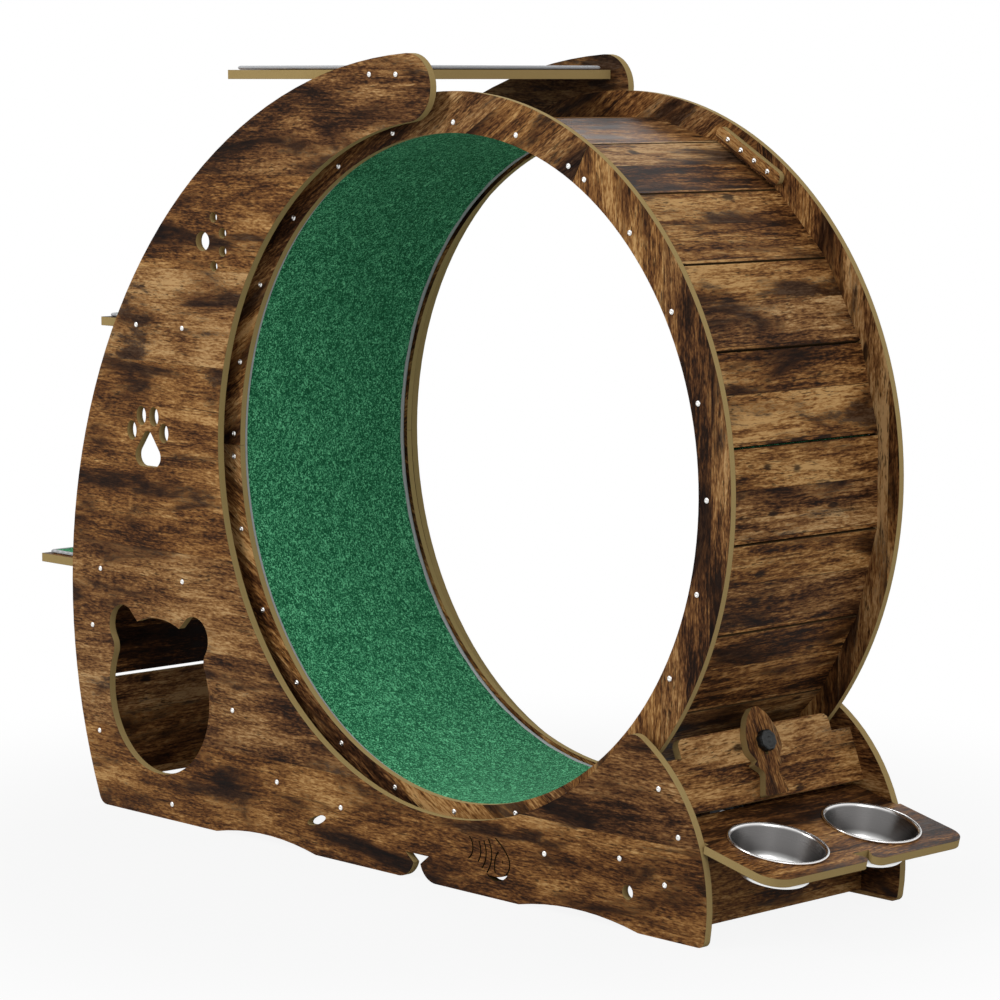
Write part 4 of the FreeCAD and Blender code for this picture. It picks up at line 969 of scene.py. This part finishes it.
def screw_seats(node, outward):
    """The middle of each screw head's seat. Heads that share a node don't touch."""
    mesh = frame["nodes"][node].data
    group = {}

    def leader(corner):
        while group.setdefault(corner, corner) != corner:
            corner = group[corner]
        return corner

    places = [tuple(round(part, 5) for part in corner.co) for corner in mesh.vertices]
    for edge in mesh.edges:
        group[leader(places[edge.vertices[0]])] = leader(places[edge.vertices[1]])
    heads = {}
    for place in set(places):
        heads.setdefault(leader(place), []).append(Vector(place))
    seats = []
    for corners in heads.values():
        middle = sum(corners, Vector()) / len(corners)
        middle.y = min(corner.y * outward for corner in corners) * outward
        seats.append(middle)
    return sorted(seats, key=lambda seat: tuple(seat))


print("screws in the left panel:", len(screw_seats("left_panel_screws", -1)))

# %% Set down the screw heads
HEAD_RADIUS, HEAD_HEIGHT, SOCKET = 4.2 * MM, 2 * MM, 1.7 * MM
HEAD_PROFILE = [
    (HEAD_RADIUS * 0.97, 0), (HEAD_RADIUS, 0.4 * MM), (HEAD_RADIUS * 0.95, 0.95 * MM),
    (HEAD_RADIUS * 0.80, 1.5 * MM), (HEAD_RADIUS * 0.6, 1.85 * MM), (SOCKET * 1.12, HEAD_HEIGHT),
    (SOCKET, HEAD_HEIGHT - 0.12 * MM), (SOCKET * 0.98, 0.9 * MM), (SOCKET * 0.3, 0.5 * MM),
]


def hexagon(turn, number):
    """The six-sided socket in the head. The rings outside it stay round."""
    if number < 5:
        return 1
    corner = (turn + math.pi / 6) % (math.pi / 3) - math.pi / 6
    return 0.92 / math.cos(corner)


SCREW_GROUPS = {
    "left_panel_screws": ("stand", -1), "right_panel_screws": ("stand", 1),
    "left_ring_screws": ("wheel", -1), "right_ring_screws": ("wheel", 1),
    "left_splice_screws": ("wheel", 1), "right_splice_screws": ("wheel", -1),
}
for node, (body, outward) in SCREW_GROUPS.items():
    corners, faces = [], []
    for seat in screw_seats(node, outward):
        rings = spun(seat, ACROSS * outward, HEAD_PROFILE, 24, hexagon)
        faces.extend(skin(rings, first=len(corners)))
        corners.extend(flat(rings))
        faces.append(tuple(range(len(corners) - 24, len(corners))))
    heads = make_piece(f"{node}_heads", corners, faces, body, screw_metal)
    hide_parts(node)
    print(node, "corners:", len(corners))

# %% [markdown]
# ## The room
#
# The product stands on a pale floor in an even white room. The floor shows itself partly
# by its own light, so that it stays white without flooding the wood with light, and the
# other part is ordinary paint that takes the shadow of the feet.

# %% Lay the floor
FLOOR_REACH = 14.0


def make_floor():
    """A white floor that keeps a soft shadow near the object and is even farther out."""
    far = FLOOR_REACH
    corners = [(-far, -far, 0), (far, -far, 0), (far, far, 0), (-far, far, 0)]
    mesh = bpy.data.meshes.new("floor")
    mesh.from_pydata(corners, [], [(0, 1, 2, 3)])
    floor = bpy.data.objects.new("floor", mesh)
    bpy.context.collection.objects.link(floor)
    finish = Finish("pale_floor", {"Roughness": 0.9, "Specular IOR Level": 0.0})
    finish.shader.inputs["Base Color"].default_value = tint(168, 168, 168)
    glow = finish.tree.nodes.new("ShaderNodeEmission")
    glow.inputs["Color"].default_value = (1, 1, 1, 1)
    path = finish.tree.nodes.new("ShaderNodeLightPath")
    seen = Signal(finish, path.outputs["Is Camera Ray"])
    mirrored = Signal(finish, path.outputs["Is Glossy Ray"])
    ahead, side = finish.along(AHEAD), finish.along(ACROSS)
    away = (ahead * ahead + side * side).root()
    even = 0.90 + away.between(0.6, 1.5) * 0.10
    mixed = finish.tree.nodes.new("ShaderNodeMixShader")
    finish.feed(mixed.inputs[0], seen * even + mirrored)
    finish.tree.links.new(finish.shader.outputs[0], mixed.inputs[1])
    finish.tree.links.new(glow.outputs[0], mixed.inputs[2])
    output = finish.tree.nodes["Material Output"]
    finish.tree.links.new(mixed.outputs[0], output.inputs["Surface"])
    mesh.materials.append(finish.material)
    return floor


floor = make_floor()
print("floor, m:", FLOOR_REACH * 2)

# %% [markdown]
# ## Light
#
# One broad lamp stands high on the camera's left, a weaker one fills from the right, and
# a third keeps the back from going dark. The room around gives the rest. The white behind
# the object is only what the camera and the mirror-bright metal see; it adds no light to
# the wood.

# %% Hang the lamps


def make_lamp(name, place, target, size, power):
    """A square soft lamp that points at a target."""
    lamp = bpy.data.lights.new(name, "AREA")
    lamp.size, lamp.energy = size, power
    holder = bpy.data.objects.new(name, lamp)
    holder.location = place
    holder.rotation_euler = (Vector(target) - Vector(place)).to_track_quat("-Z", "Y").to_euler()
    bpy.context.collection.objects.link(holder)
    return holder


make_lamp("key_lamp", (-1.6, -4.6, 3.8), (0, 0, 0.6), 1.8, 135)
make_lamp("fill_lamp", (5.0, -1.6, 3.0), (0.2, 0, 0.6), 2.6, 70)
make_lamp("back_lamp", (-3.2, 4.2, 3.2), (0, 0, 0.6), 2.6, 70)


def light_room(brightness=0.60):
    """White for the camera and for mirror-like surfaces, and a soft even light for the rest."""
    world = bpy.data.worlds.new("room")
    bpy.context.scene.world = world
    world.use_nodes = True
    nodes, links = world.node_tree.nodes, world.node_tree.links
    soft = nodes["Background"]
    soft.inputs["Color"].default_value = (1, 1, 1, 1)
    soft.inputs["Strength"].default_value = brightness
    white = nodes.new("ShaderNodeBackground")
    white.inputs["Color"].default_value = (1, 1, 1, 1)
    white.inputs["Strength"].default_value = 1.0
    path = nodes.new("ShaderNodeLightPath")
    seen = path.outputs["Is Camera Ray"]
    for kind in ("Is Glossy Ray", "Is Transmission Ray"):
        either = nodes.new("ShaderNodeMath")
        either.operation = "MAXIMUM"
        links.new(seen, either.inputs[0])
        links.new(path.outputs[kind], either.inputs[1])
        seen = either.outputs[0]
    mixed = nodes.new("ShaderNodeMixShader")
    links.new(seen, mixed.inputs[0])
    links.new(soft.outputs[0], mixed.inputs[1])
    links.new(white.outputs[0], mixed.inputs[2])
    links.new(mixed.outputs[0], nodes["World Output"].inputs["Surface"])


light_room()
bpy.context.scene.view_settings.view_transform = "Standard"

# %% [markdown]
# ## The camera
#
# The picture was taken with a long lens from ahead and to the left of the bowls, a little
# above the middle of the wheel, looking slightly down.

# %% Set up the camera
CAMERA_PLACE = Vector((3.9411, -3.6641, 1.1813))
CAMERA_LOOKS = Vector((-0.7208, 0.6830, -0.1184))
lens = bpy.data.cameras.new("camera")
lens.sensor_fit = "HORIZONTAL"
lens.sensor_width = 36
lens.lens = 127.65
lens.clip_end = 100
camera = bpy.data.objects.new("camera", lens)
camera.location = CAMERA_PLACE
camera.rotation_euler = CAMERA_LOOKS.to_track_quat("-Z", "Y").to_euler()
bpy.context.collection.objects.link(camera)
bpy.context.scene.camera = camera
print("camera is", round(CAMERA_PLACE.length, 2), "m away")

# %% Bring the scene up to date
bpy.context.view_layer.update()
